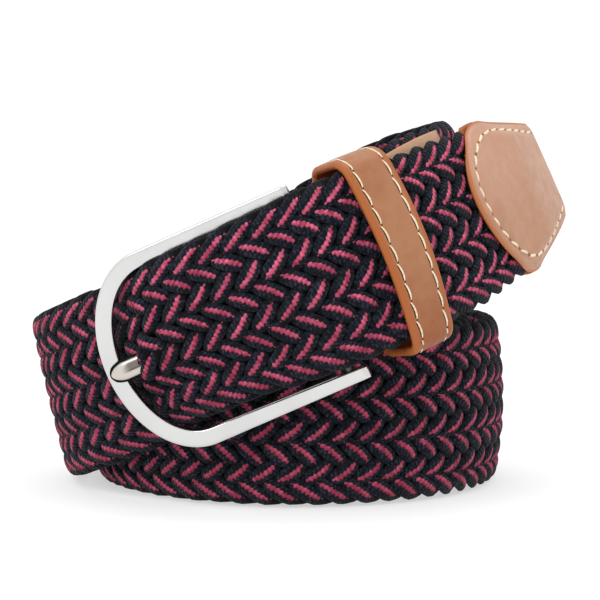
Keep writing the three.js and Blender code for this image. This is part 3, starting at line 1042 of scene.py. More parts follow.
@dataclass
class LeatherTip:
    """The tapered leather end, a pocket folded over the end of the braid.

    Lengths are in millimetres. A band holds where a smooth change starts and ends.
    """

    route: Route
    length: float = 23.5
    seam_bulge: float = 13.0
    seam_skew: float = 2.0
    back_seam_bulge: float = 4.5
    steepest: float = 0.004
    half_width: float = 16.4
    end_half_width: float = 10.2
    shoulder: float = 22.4
    corner_cut: float = 0.9
    corner_length: float = 1.2
    edge_half_thickness: float = 1.4
    seam_half_thickness: float = 3.3
    swell_from: float = 0.5
    swell_until: float = 5.0
    edge_band: float = 0.28
    edge_thinning: float = 0.25
    sewn_half_thickness: float = 1.25
    sewn_band: Numbers = (0.3, 3.4)
    release_from: float = 15.0
    release: float = 0.55
    wall: float = 1.0
    wall_slope: float = 1.7
    thinnest: float = 0.1
    end_radius: float = 1.4
    end_blunt: float = 0.04
    end_rim: float = 0.6
    rim_drop: float = 0.34
    rim_width: float = 1.2
    rim_from: float = 0.7
    groove: float = 0.16
    groove_width: float = 0.55
    groove_from: float = 1.0
    welt: float = 0.16
    welt_inset: float = 1.0
    welt_width: float = 0.7
    crowding: float = 1.35
    stitch_inset: float = 2.3
    stitch_slant: float = 9.0
    stitch_turns: Numbers = (83.0, -80.0)
    stitch_sides: Numbers = (1.6, 3.5)
    stitch_reach: float = 1.15
    stitch_drop: float = 0.62
    stitch_flatter: float = 0.3

    def half_width_at(self, distance: Array) -> Array:
        """Half of the tip's width at a distance from its end.

        Args:
            distance: distances from the tip's end.

        Returns:
            Half widths in millimetres.
        """
        distance = np.asarray(distance, float)
        taper = np.clip(distance / self.shoulder, 0, 1)
        corner = self.corner_cut * (1 - np.clip(distance / self.corner_length, 0, 1)) ** 2
        return self.end_half_width + (self.half_width - self.end_half_width) * taper - corner

    def seam(self, x: Array, face: Array) -> Array:
        """Distance of the seam from the end.

        Args:
            x: share of the half width, up positive.
            face: above 0 on the outer leaf, below it on the back one.

        Returns:
            The distance in millimetres.
        """
        arch = np.sqrt(np.clip(1 - x**2, 0, 1))
        bulge = np.where(face > 0, self.seam_bulge + self.seam_skew * x, self.back_seam_bulge)
        return self.length + bulge * arch

    def half_thickness_at(self, distance: Array, x: Array) -> Array:
        """Half of the tip's thickness.

        Args:
            distance: distances from the tip's end.
            x: shares of the half width.

        Returns:
            Half thicknesses in millimetres.
        """
        edge = 1 - self.edge_thinning * np.clip((np.abs(x) - 1 + self.edge_band) / self.edge_band, 0, 1)
        swell = smooth(distance, self.swell_from, self.length - self.swell_until)
        thicker = self.seam_half_thickness - self.edge_half_thickness
        full = self.edge_half_thickness + thicker * swell * edge
        to_side = self.half_width_at(distance) * (1 - np.abs(x))
        held = 1 - self.release * smooth(distance, self.release_from, self.length + 1)
        sewn = (1 - smooth(to_side, *self.sewn_band)) * held
        return full + (np.minimum(self.sewn_half_thickness, full) - full) * sewn

    def to_seam(self, distance: Array, across: Array, face: Array) -> Array:
        """Distance of a point of a leaf from the seam, across the seam's line.

        Args:
            distance: distances from the tip's end.
            across: heights across the tip.
            face: above 0 on the outer leaf, below it on the back one.

        Returns:
            Millimetres for each point.
        """
        x = np.clip(across / self.half_width, -1, 1)
        gap = self.seam(x, face) - distance
        bulge = np.where(face > 0, self.seam_bulge, self.back_seam_bulge)
        slope = bulge * x / np.sqrt(np.clip(1 - x**2, self.steepest, 1)) / self.half_width
        return gap / np.sqrt(1 + slope**2)

    def surface(self, distance: Array, x: Array, y: Array, inset: float = 0.0) -> tuple[Array, Array]:
        """Places points of the tip's skin.

        Args:
            distance: distance from the tip's end.
            x: share of the half width, -1 to 1.
            y: share of the half thickness, -1 to 1.
            inset: how far the points lie inside the skin.

        Returns:
            The points in metres, and each point's distance from the tip's outline.
        """
        half = self.half_width_at(distance)
        seam_gap = self.to_seam(distance, x * half, y)
        to_rim = np.minimum(np.minimum(half * (1 - np.abs(x)), seam_gap), distance + self.end_rim)
        skin = self.half_thickness_at(distance, x) - inset
        end_round = 1.0
        if inset == 0:
            drop = self.rim_drop * (1 - smooth(to_rim, 0.0, self.rim_width))
            groove = self.groove * ridge(to_rim, self.stitch_inset, self.groove_width)
            groove = groove * (distance > self.groove_from)
            skin = skin + (self.welt * ridge(seam_gap, self.welt_inset, self.welt_width) - drop - groove)
            from_end = 1 - np.clip(distance / self.end_radius, 0, 1)
            end_round = np.sqrt(np.clip(1 - from_end**2, self.end_blunt, 1))
        out = y * np.maximum(skin, self.thinnest) * end_round
        rim = np.where(np.abs(y) > self.rim_from, np.maximum(to_rim, 0.0), 0.0)
        return self.route.place(distance, x * (half - self.wall_slope * inset), out), rim

    def build(self, leather: Finish, thread: Finish, hole: Finish) -> list[Piece]:
        """Builds the leather pocket and its stitches.

        Args:
            leather: the pocket's finish.
            thread: the finish of the stitches.
            hole: the finish of their holes.

        Returns:
            The pieces.
        """
        spread = np.sin(np.linspace(-math.pi / 2, math.pi / 2, 61))[1:-1]
        edge = [(1.0, -0.8), (1.008, -0.4), (1.012, 0.0), (1.008, 0.4), (1.0, 0.8)]
        outline = [(x, -1.0) for x in spread] + edge + [(x, 1.0) for x in spread[::-1]]
        outline = np.array(outline + [(-x, -y) for x, y in edge])
        x, y = outline[:, 0], outline[:, 1]
        loops, rims = [], []
        for share in 1 - (1 - np.linspace(0, 1, 46)) ** self.crowding:
            points, rim = self.surface(self.seam(x, y) * share, x, y)
            loops.append(points)
            rims.append(rim)
        mouth = ((0.3, -0.3), (0.7, -0.34), (self.wall, -0.1), (self.wall, 3.0), (self.wall, 9.0))
        for inset, behind_seam in mouth:
            points, _ = self.surface(self.seam(x, y) - behind_seam, x, y, inset)
            loops.append(points)
            rims.append(np.zeros_like(x))
        mesh = tube(np.array(loops), {"rim": np.array(rims)})
        pocket = new_piece("tip_leather", mesh, leather, Slot.LEATHER, "leather_tip")
        stitching = Stitching("tip", "leather_tip", slant=self.stitch_slant)
        for face in (1, -1):
            line = self.stitch_line(face)
            x = line[:, 1] / self.half_width_at(line[:, 0])
            points, _ = self.surface(line[:, 0], x, np.full_like(x, face))
            _, _, out = self.route.directions(self.route.angle_at(line[:, 0]))
            stitching.add_row(points, out * face)
        return [pocket, *stitching.build(thread, hole)]

    def stitch_line(self, face: int) -> Array:
        """The stitch line of a face, from the end round the seam.

        Args:
            face: 1 for the outer face, -1 for the back one.

        Returns:
            Rows of (distance, across).
        """
        inset = self.stitch_inset
        turns = np.linspace(*np.radians(self.stitch_turns), 60)
        across = (self.half_width - inset * self.stitch_reach) * np.sin(turns)
        bulge = self.seam_bulge if face > 0 else self.back_seam_bulge
        skew = self.seam_skew if face > 0 else 0.0
        arch = (bulge + skew * np.sin(turns)) * np.cos(turns)
        drop = inset * self.stitch_drop
        along = self.length - drop + arch - self.stitch_flatter * inset * np.cos(turns)
        seam = np.stack([along, across], axis=1)
        first, last = self.stitch_sides
        side = np.linspace(first, self.length - last, 24)
        upper = np.stack([side, self.half_width_at(side) - inset], axis=1)
        lower = np.stack([side[::-1], -(self.half_width_at(side[::-1]) - inset)], axis=1)
        line = np.vstack([upper, seam, lower])
        for _ in range(3):
            line[1:-1] = (line[:-2] + 2 * line[1:-1] + line[2:]) / 4
        return line


@dataclass
class Buckle:
    """The metal frame, its prong and the hinge bar, in the frame's own directions.

    Lengths are in millimetres. A band holds where a smooth change starts and ends.
    """

    route: Route
    length: float = 47.0
    width: float = 40.6
    end_depth: float = 14.6
    bar: float = 3.4
    arm_end_bar: float = 2.6
    thickness: float = 2.6
    edge: float = 0.42
    arm_end_round: float = 0.3
    wall_band: Numbers = (0.4, 0.05)
    wall_shade: Numbers = (0.10, 0.60)
    wall_shade_from: float = 14.0
    position: tuple[float, float, float] = (-20.15, -50.2, 32.6)
    roll: float = 24.14
    yaw: float = 6.0
    hinge_inset: float = 3.5
    prong_width: float = 3.6
    prong_thickness: float = 1.8
    prong_reach: float = 13.4
    prong_rest_gap: float = 0.3
    prong_bend: Numbers = (0.1, 0.97)
    prong_point: float = 3.6
    prong_blunt: float = 0.03
    prong_thinnest: float = 0.45
    prong_edge: float = 0.7
    crease_at: float = -0.12
    crease_width: float = 0.13
    crease_band: Numbers = (2.0, 4.2)
    wedge_shade: float = 0.76
    leaf_length: float = 6.6
    leaf_rim: float = 0.42
    leaf_thickness: float = 0.3
    leaf_depth: float = 0.32
    leaf_point: float = 0.8
    leaf_blunt: float = 0.05
    eye_inner: float = 1.5
    eye_outer: float = 2.7
    eye_overlap: float = 0.6
    eye_edge: float = 0.3

    def __post_init__(self) -> None:
        """Works out the frame's directions: a to the arm ends, b across the strap, c to the front."""
        roll, yaw = math.radians(self.roll), math.radians(self.yaw)
        b = Vector((-math.sin(roll), 0, math.cos(roll)))
        a = Matrix.Rotation(-yaw, 3, b) @ Vector((math.cos(roll), 0, math.sin(roll)))
        self.axes = np.array([a, b, a.cross(b)])
        self.origin = np.array(self.position) + [*self.route.coil_axis, 0.0]

    @property
    def arm(self) -> float:
        """Length of the frame's straight arms."""
        return self.length - self.end_depth

    @property
    def hinge(self) -> float:
        """Distance from the start of the half-ellipse to the hinge bar."""
        return self.length - self.end_depth - self.hinge_inset

    @property
    def prong_start(self) -> float:
        """Distance from the start of the half-ellipse to the prong's shank."""
        return self.hinge - self.eye_inner - self.eye_overlap

    def place(self, points: Array) -> Array:
        """Turns (a, b, c) in millimetres into metres."""
        return (self.origin + np.asarray(points, float) @ self.axes) * MM

    def local(self, points: Array) -> Array:
        """Turns metres into (a, b, c) in millimetres."""
        return (np.asarray(points) / MM - self.origin) @ self.axes.T

    def prong_height(self, a: Array) -> Array:
        """Height of the prong's middle over the frame's plane.

        Args:
            a: places along the frame.

        Returns:
            Heights in millimetres.
        """
        share = (self.prong_start - np.asarray(a, float)) / (self.prong_start + self.prong_reach)
        rest = self.thickness / 2 + self.prong_rest_gap + self.prong_thickness / 2
        return rest * smooth(share, *self.prong_bend)

    def prong_half_at(self, from_tip: float) -> float:
        """Half of the prong's width at a distance from its end, which is drawn out to a blunt point."""
        share = min(from_tip / self.prong_point, 1.0)
        return self.prong_width / 2 * math.sqrt(max(1 - (1 - share) ** 2, self.prong_blunt))

    def build(self, metal: Finish, prong_metal: Finish) -> list[Piece]:
        """Builds the frame, the prong and the dark leaf under it that paints its shadow, and dresses the
        hinge bar's solid.

        Args:
            metal: the frame's finish.
            prong_metal: the prong's finish.

        Returns:
            The pieces.
        """
        pieces = [self.build_frame(metal), self.build_prong(prong_metal), self.build_shadow_leaf()]
        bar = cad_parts["hinge_bar"]
        shaded = SatinMetal("shaded_bar", (0.10, 0.095, 0.09, 1), low_roughness=0.35, high_roughness=0.45)
        bar.data.materials.clear()
        bar.data.materials.append(shaded.material())
        return pieces

    def arm_station(self, a: float, way: float) -> tuple[float, ...]:
        """Middle of an arm's bar, the direction away from the strap, and half of the bar's width."""
        narrow = self.bar + (self.arm_end_bar - self.bar) * a / self.arm
        return a, way * (self.width / 2 - narrow / 2), 0.0, way, narrow / 2

    def end_station(self, turn: float) -> tuple[float, ...]:
        """The same on the frame's half-elliptic end.

        Args:
            turn: angle round the end, 0 in its middle.

        Returns:
            The place in a and b, the direction in a and b, and half of the width.
        """
        half = self.width / 2
        spot = np.array([-math.cos(turn), math.sin(turn)])
        inside, outside = spot * (self.end_depth - self.bar, half - self.bar), spot * (self.end_depth, half)
        middle, reach = (inside + outside) / 2, (outside - inside) / 2
        width = float(np.linalg.norm(reach))
        return middle[0], middle[1], reach[0] / width, reach[1] / width, width

    def build_frame(self, metal: Finish) -> Piece:
        """Builds the U-shaped frame as a rounded bar along its middle line.

        Args:
            metal: its finish.

        Returns:
            The piece.
        """
        along_arm = np.linspace(0, self.arm, 22)[1:]
        stations = [self.arm_station(a, -1.0) for a in along_arm[::-1]]
        stations += [self.end_station(turn) for turn in np.linspace(-math.pi / 2, math.pi / 2, 64)]
        stations += [self.arm_station(a, 1.0) for a in along_arm]
        least, more = self.wall_shade
        loops, dark_reflection_marks = [], []
        for a, b, out_a, out_b, reach in stations:
            outline = rounded_strip(reach, self.thickness / 2, self.edge, 4, 4)
            loops.append([(a + out_a * x, b + out_b * x, y) for x, y in outline])
            # Painted reflection and shade: the frame's inner wall is darkened, more towards the arm ends,
            # where the real wall reflects the dark braid.
            inner_wall = smooth(-outline[:, 0], *(reach - band for band in self.wall_band))
            dark_reflection_marks.append(inner_wall * (least + more * smooth(a, self.wall_shade_from, self.arm - 2)))
        loops = np.array(loops)
        start, end = self.rounded_end(loops[0], loops[1]), self.rounded_end(loops[-1], loops[-2])
        loops = np.array([start[0], start[1], *loops[1:-1], end[1], end[0]])
        dark_reflection_marks = np.array(dark_reflection_marks)[[0, *range(len(dark_reflection_marks)), -1]]
        mesh = tube(self.place(loops), {"painted_dark_reflection": dark_reflection_marks})
        return new_piece("buckle_ring", mesh, metal, Slot.METAL, "buckle_frame")

    def rounded_end(self, first: Array, second: Array) -> list[Array]:
        """The two loops that round the edge of an arm's end.

        Args:
            first: the arm's last loop.
            second: the loop before it.

        Returns:
            The loop on the end's face, and the one where the arm's sides start.
        """
        middle, radius = first.mean(axis=0), self.arm_end_round
        forward = unit(middle - second.mean(axis=0))
        arms = first - middle
        size = np.linalg.norm(arms, axis=1, keepdims=True)
        loops = []
        for turn, shrink in ((math.pi / 2, radius), (math.pi / 4, radius * (1 - math.cos(math.pi / 4)))):
            back = forward * (-radius + radius * math.sin(turn))
            loops.append(middle + arms * (size - shrink) / size + back)
        return loops

    def build_shadow_leaf(self) -> Piece:
        """Builds painted shadow: a thin near-black leaf under the prong's end, which shows as a dark line
        round it.

        Returns:
            The piece.
        """
        rim, thickness = self.leaf_rim, self.leaf_thickness
        loops = []
        for share in 1 - np.cos(np.linspace(0, math.pi / 2, 40)):
            from_tip = share * (self.leaf_length + rim)
            a = -self.prong_reach - rim + from_tip
            rounding = math.sqrt(min(1.0, from_tip / self.leaf_point + self.leaf_blunt))
            half = self.prong_half_at(from_tip + 0.02) + rim * rounding
            outline = rounded_strip(half, thickness / 2, thickness * 0.4, 6, 2)
            across, out = outline.T
            height = float(self.prong_height(a)) - self.prong_thickness * self.leaf_depth
            loops.append(np.stack([np.full_like(across, a), across, height + out], axis=1))
        dark = SatinMetal("painted_prong_shadow", (0.012, 0.012, 0.013, 1), low_roughness=0.5, high_roughness=0.6)
        return new_piece("prong_shadow_leaf", tube(self.place(np.array(loops)), {}), dark, Slot.METAL, "prong")

    def build_prong(self, metal: Finish) -> Piece:
        """Builds the prong: a flat shank with a round end, a painted dark line and wedge along its front,
        and an eye round the bar.

        Args:
            metal: its finish.

        Returns:
            The piece.
        """
        length = self.prong_start + self.prong_reach
        loops, dark_reflection_marks = [], []
        for share in np.sin(np.linspace(0, math.pi / 2, 90)):
            a, from_tip = self.prong_start - share * length, (1 - share) * length
            half = self.prong_half_at(from_tip)
            fullness = self.prong_thinnest + (1 - self.prong_thinnest) * half / (self.prong_width / 2)
            thin = self.prong_thickness / 2 * min(1.0, fullness)
            outline = rounded_strip(half, thin, min(self.prong_edge, thin * 0.8, half * 0.8), 24, 4)
            across, out = outline.T
            height = float(self.prong_height(a))
            loops.append(np.stack([np.full_like(across, a), across, height + out], axis=1))
            dark_reflection_marks.append(self.painted_dark_reflection(across / half, from_tip) * (out > 0))
        mesh = tube(self.place(np.array(loops)), {"painted_dark_reflection": np.array(dark_reflection_marks)})
        self.add_eye(mesh)
        return new_piece("buckle_prong", mesh, metal, Slot.METAL, "prong")

    def add_eye(self, mesh: Mesh) -> None:
        """Adds the eye round the hinge bar to the prong's mesh.

        Args:
            mesh: the prong's bmesh.
        """
        half_wall = (self.eye_outer - self.eye_inner) / 2
        across, out = rounded_strip(self.prong_width / 2, half_wall, self.eye_edge, 2, 2).T
        reach = (self.eye_outer + self.eye_inner) / 2 + out
        ring = []
        for turn in np.linspace(0, 2 * math.pi, 40, endpoint=False):
            spot = [self.hinge + reach * math.cos(turn), across, reach * math.sin(turn)]
            ring.append(np.stack(spot, axis=1))
        eye = tube(self.place(np.array(ring)), {}, capped=False)
        eye_mesh = bpy.data.meshes.new("prong_eye")
        eye.to_mesh(eye_mesh)
        eye.free()
        mesh.from_mesh(eye_mesh)
        bpy.data.meshes.remove(eye_mesh)

    def painted_dark_reflection(self, level: Array, from_tip: float) -> Array:
        """Painted shade and reflection on the prong's front: a thin dark line along it, and a dark wedge
        beside the line.

        Args:
            level: places across the prong, as shares of its half width.
            from_tip: distance from the prong's end.

        Returns:
            0 to 1 for each place.
        """
        opened = smooth(from_tip, *self.crease_band)
        line = ridge(level, self.crease_at, self.crease_width) * opened
        far_side = smooth(level, 0.1 + 0.4 * opened, 0.3 + 0.5 * opened)
        wedge = smooth(level, self.crease_at, 0.0) * (1 - far_side) * opened
        return np.maximum(line, wedge * self.wedge_shade)


@dataclass
class BraidedStrap:
    """The strap: flat cords, each over two and under two, turning back at the strap's edges.

    Lengths are in millimetres. A band holds where a smooth change starts and ends. Squeeze and raised are
    tables of the angle round the coil and a length.
    """

    route: Route
    tip: LeatherTip
    buckle: Buckle
    cords: int = 17
    pitch: float = 5.2
    reach: float = 18.1
    first_change: float = 1.5
    change_every: float = 2.0
    edge_round: float = 1.15
    edge_band: Numbers = (2.0, 5.0)
    cord_width: float = 3.35
    cord_thickness: float = 1.9
    cord_back: float = 0.95
    front_roundness: float = 2.15
    back_roundness: float = 2.3
    wave: float = 1.15
    wave_softness: float = 0.8
    dive_narrowing: float = 0.16
    dive_band: Numbers = (0.1, 0.95)
    step: float = 0.62
    hidden_step: float = 1.0
    hidden: Numbers = (345.0, 950.0)
    start: float = 11.0
    end_gap: float = 5.5
    squeeze: Table = (
        (-14, 0.0), (2, 0.1), (4, 0.3), (7, 0.8), (12, 0.85), (16, 0.75), (18, 0.75), (20, 0.9), (22, 1.05),
        (25, 1.2), (28, 1.15), (34, 0.5), (42, 0.0),
    )
    raised: Table = ((-34, 0.0), (-28, 0.45), (-23, 0.70), (-12, 0.70), (-6, 0.5), (0, 0.1), (4, 0.0))
    end_narrowing: float = 1.4
    end_band: Numbers = (8.0, 22.0)
    pocket_wall: float = 2.4
    pocket_thinning: float = 0.6
    mouth_band: Numbers = (-1.5, 3.0)
    widening_band: Numbers = (2.0, 20.0)
    half_thickness: float = 2.0
    prong_clearance: float = 0.1
    prong_side_band: Numbers = (0.6, 3.4)
    prong_end_band: Numbers = (-2.5, 0.5)
    prong_eye_band: Numbers = (-6.0, -2.0)
    prong_leaves: float = -6.5
    cover_band: Numbers = (-1.2, 0.6)
    cover_bias: float = 0.5
    cover_pull: float = 4.0
    cover_rise: float = 0.4
    bury_band: Numbers = (0.8, 2.6)
    bury_bias: float = 1.3
    side_softness: float = 0.35
    stripe_bow: float = 0.55
    tucked_shade: float = 0.5
    tucked_shares: tuple[Numbers, Numbers] = ((0.86, 0.94), (1.10, 1.18))
    tucked_across: tuple[Numbers, Numbers] = ((-13.0, -9.0), (5.0, 13.0))
    tucked_out: Numbers = (5.0, 8.0)
    tucked_along: Numbers = (4.0, 14.0)
    core_inset: float = 1.5
    core_step: float = 2.0
    core_half_thickness: float = 0.12
    core_edge: float = 0.11
    core_drop: float = 0.5
    core_end_band: Numbers = (-6.0, -1.0)
    core_hinge_band: Numbers = (-4.0, 2.0)
    unevenness: float = 0.075
    uneven_periods: Numbers = (19.0, 11.0, 6.1)
    uneven_band: Numbers = (17.0, 13.0)
    uneven_lift: float = 0.6
    uneven_width: float = 0.5
    seed: int = 7

    def half_width_at(self, distance: Array) -> Array:
        """Half of the braid's width at each distance from the tip.

        Args:
            distance: distances from the tip.

        Returns:
            Half widths in millimetres.
        """
        squeeze = np.interp(self.route.angle_at(distance), *np.transpose(self.squeeze))
        in_pocket = self.tip.half_width_at(np.minimum(distance, self.tip.shoulder)) - self.pocket_wall
        mouth = self.tip.length + 1
        width = in_pocket + (self.tip.half_width - in_pocket) * step_at(distance, mouth, self.mouth_band)
        more = self.route.half_width - self.tip.half_width
        width = width + more * step_at(distance, mouth, self.widening_band)
        held = self.end_narrowing * (1 - smooth(self.route.length - distance, *self.end_band))
        return width - squeeze - held + self.raised_at(distance)

    def raised_at(self, distance: Array) -> Array:
        """How far the braid's middle lies up in the keeper, which its upper edge fills."""
        return np.interp(self.route.angle_at(distance), *np.transpose(self.raised))

    def half_thickness_at(self, distance: Array) -> Array:
        """Half of the braid's thickness at each distance from the tip."""
        in_pocket = 1 - smooth(distance, self.start, self.tip.length + 3)
        return self.half_thickness - self.pocket_thinning * in_pocket

    def stations(self) -> Array:
        """Distances from the tip of a cord's loops of points, further apart inside the coil.

        Returns:
            The distances, in order.
        """
        end = self.route.length - self.end_gap
        near = np.arange(self.start - 1.0, self.hidden[0], self.step)
        inside = np.arange(self.hidden[0], self.hidden[1], self.hidden_step)
        return np.concatenate([near, inside, np.arange(self.hidden[1], end + self.step, self.step)])

    def path(self, index: int, distance: Array) -> tuple[Array, Array, Array]:
        """The middle line of one cord, in belt space.

        Args:
            index: the cord's number.
            distance: distances from the tip.

        Returns:
            Height across, height out, and the level in the weave: 1 over the others, -1 under them. The
            cord crosses one other in each column, and crosses the strap in as many columns as cords.
        """
        both = 2 * self.cords
        cycle = np.mod((-distance - index * self.pitch) / (self.pitch / 2), both)
        to_lower, to_upper = np.minimum(cycle, both - cycle), np.abs(cycle - self.cords)
        from_edge = np.minimum(to_lower, to_upper)
        column = 2 * self.reach / self.cords
        rounding = np.sqrt(from_edge**2 + self.edge_round**2)
        straight = column * (rounding - from_edge) * smooth(from_edge, *self.edge_band)
        across = np.where(to_lower < to_upper, -1.0, 1.0) * (self.reach - column * rounding + straight)
        changes = [
            first + self.first_change + self.change_every * number
            for first in (0, self.cords)
            for number in range(self.cords // 2)
        ]
        last = both + self.first_change
        knots = [-self.first_change, *changes, last, last + self.change_every]
        wave = -np.cos(np.interp(cycle, knots, math.pi * np.arange(-1, len(knots) - 1)))
        level = wave / np.sqrt(wave**2 + self.wave_softness**2) * math.sqrt(1 + self.wave_softness**2)
        return across, self.wave * level, level

    def uneven(self, index: int, distance: Array) -> Array:
        """Small seeded unevenness of a cord.

        Args:
            index: the cord's number.
            distance: distances from the tip.

        Returns:
            Shares of one: sideways, in height and in width.
        """
        random = np.random.default_rng(self.seed * 100 + index)
        rows = []
        for _ in range(3):
            waves = zip(self.uneven_periods, random.uniform(0, 2 * math.pi, 3))
            rows.append(sum(np.sin(2 * math.pi * distance / period + start) for period, start in waves) / 2)
        return np.array(rows)

    def section(self) -> Array:
        """The cord's cross-section: rounded, a little flatter behind.

        Returns:
            Its points, as (side, height) shares.
        """
        front = [1.0, 0.9, 0.72, 0.48, 0.2, -0.2, -0.48, -0.72, -0.9]
        back = [-1.0, -0.78, -0.42, 0.0, 0.42, 0.78]
        faces = ((front, 1.0, self.front_roundness), (back, -self.cord_back, self.back_roundness))
        return np.array([
            (x, height * (1 - abs(x) ** power) ** (1 / power)) for row, height, power in faces for x in row
        ])

    def clear_prong(self, points: Array, level: Array) -> Array:
        """How far each point of a cord's middle line moves forwards or back to clear the prong.

        Args:
            points: the cord's middle line, in metres.
            level: its level in the weave.

        Returns:
            Millimetres towards the front. Where the prong has gone through, the upper cords cover it.
        """
        a, b, c = self.buckle.local(points).T
        gap = c - self.buckle.prong_height(a)
        need = (self.buckle.prong_thickness + self.cord_thickness) / 2 + self.prong_clearance
        near = 1 - step_at(np.abs(b), self.buckle.prong_width / 2, self.prong_side_band)
        near = near * step_at(a, -self.buckle.prong_reach, self.prong_end_band)
        near = near * (1 - step_at(a, self.buckle.hinge, self.prong_eye_band))
        covers = step_at(a, self.prong_leaves, self.cover_band)
        over = level + self.cover_bias + self.bury_bias * step_at(a, self.prong_leaves, self.bury_band)
        side = np.clip((gap + self.cover_pull * covers * over) / self.side_softness, -1, 1)
        lift = need + self.cover_rise * covers * np.maximum(level + 1, 0)
        target = np.where(side > 0, np.maximum(lift - gap, 0), -np.maximum(need + gap, 0))
        return np.abs(side) * target * near

    def tucked(self, points: Array) -> Array:
        """How far each point lies in the shaded crook beside the frame's inner wall.

        Args:
            points: points in metres.

        Returns:
            0 to 1 for each point.
        """
        a, b, c = np.moveaxis(self.buckle.local(points), -1, 0)
        reach_a, reach_b = self.buckle.end_depth - self.buckle.bar, self.buckle.width / 2 - self.buckle.bar
        share = np.hypot(np.minimum(a, 0) / reach_a, b / reach_b)
        near = between(share, *self.tucked_shares) * (1 - smooth(np.abs(c), *self.tucked_out))
        return near * between(b, *self.tucked_across) * (1 - smooth(a, *self.tucked_along))

    def cord(self, index: int, finish: Finish) -> Piece:
        """Builds one cord.

        Args:
            index: its number.
            finish: its finish.

        Returns:
            The piece.
        """
        distance = self.stations()
        across, out, level = self.path(index, distance)
        aside, lift, fuller = self.uneven(index, distance) * self.unevenness
        half = self.half_width_at(distance) / self.route.half_width
        raised = self.raised_at(distance)
        flat = self.half_thickness_at(distance) / self.half_thickness
        slope = np.gradient(across, distance)
        run = np.hypot(1.0, slope)
        tilt = np.arctan2(np.gradient(out, distance), run)
        across = across + aside * smooth(np.abs(across), *self.uneven_band)
        out = out + lift * self.uneven_lift
        middle = self.route.place(distance, across * half + raised, out * flat)
        section = self.section()
        narrowing = self.dive_narrowing * (1 - smooth(np.abs(level), *self.dive_band))
        width = self.cord_width / 2 * (1 - narrowing + self.uneven_width * fuller)
        side = section[None, :, 0] * width[:, None]
        height = section[None, :, 1] * self.cord_thickness / 2
        along_s, along_y = (1 / run)[:, None], (slope / run)[:, None]
        back = -np.sin(tilt)[:, None] * height
        s = distance[:, None] - along_y * side + along_s * back
        y = across[:, None] + along_s * side + along_y * back
        z = out[:, None] + np.cos(tilt)[:, None] * height
        points = self.route.place(s, y * half[:, None] + raised[:, None], z * flat[:, None])
        shift = self.clear_prong(middle, level)
        points = points + (shift[:, None] * self.buckle.axes[2])[:, None, :] * MM
        # Painted shade: points in the crook beside the frame's inner wall get a lower rise mark, which the
        # cord's material paints darker.
        shade = 1 - self.tucked_shade * self.tucked(points)
        marks = {
            "along": np.repeat(run_along(middle)[:, None] / MM, len(section), axis=1),
            "side": section[None, :, 0] * self.cord_width / 2 - self.stripe_aside(level, slope)[:, None],
            "rise": np.abs(z) / (self.wave + self.cord_thickness / 2) * shade,
        }
        return new_piece(f"cord_{index + 1:02d}", tube(points, marks), finish, Slot.CORD, "braided_strap")

    def stripe_aside(self, level: Array, slope: Array) -> Array:
        """How far the stripe lies aside on its cord, which bows it where the cord comes up.

        Args:
            level: the cord's level in the weave.
            slope: how fast the cord goes across the strap.

        Returns:
            Millimetres for each loop of points.
        """
        soft = self.wave_softness
        arch = np.abs(level) * soft / np.sqrt(np.maximum(1 + soft**2 - level**2, soft**2))
        return self.stripe_bow * (arch - 0.5) * np.clip(3 * slope, -1, 1)

    def core(self) -> Piece:
        """Builds the near-black band inside the braid that paints the shade seen through the pinholes
        between the cords.

        Returns:
            The piece.
        """
        distance = np.arange(self.start + 1.0, self.route.length - self.end_gap, self.core_step)
        outline = rounded_strip(1.0, self.core_half_thickness, self.core_edge, 12, 1)
        half = (self.half_width_at(distance) - self.core_inset)[:, None]
        across = outline[None, :, 0] * half + self.raised_at(distance)[:, None]
        a = self.buckle.local(self.route.place(distance, 0.0, 0.0))[:, 0]
        near_prong = step_at(a, -self.buckle.prong_reach, self.core_end_band)
        near_prong = near_prong * (1 - step_at(a, self.buckle.hinge, self.core_hinge_band))
        height = outline[None, :, 1] - self.core_drop * near_prong[:, None]
        points = self.route.place(distance[:, None], across, height)
        return new_piece("pinhole_shade_sheet", tube(points, {}), PinholeShade(), Slot.CORD, "braided_strap")

    def build(self, finish: Finish) -> list[Piece]:
        """Builds every cord of the braid, and the near-black sheet of painted shade inside it."""
        return [*(self.cord(index, finish) for index in range(self.cords)), self.core()]


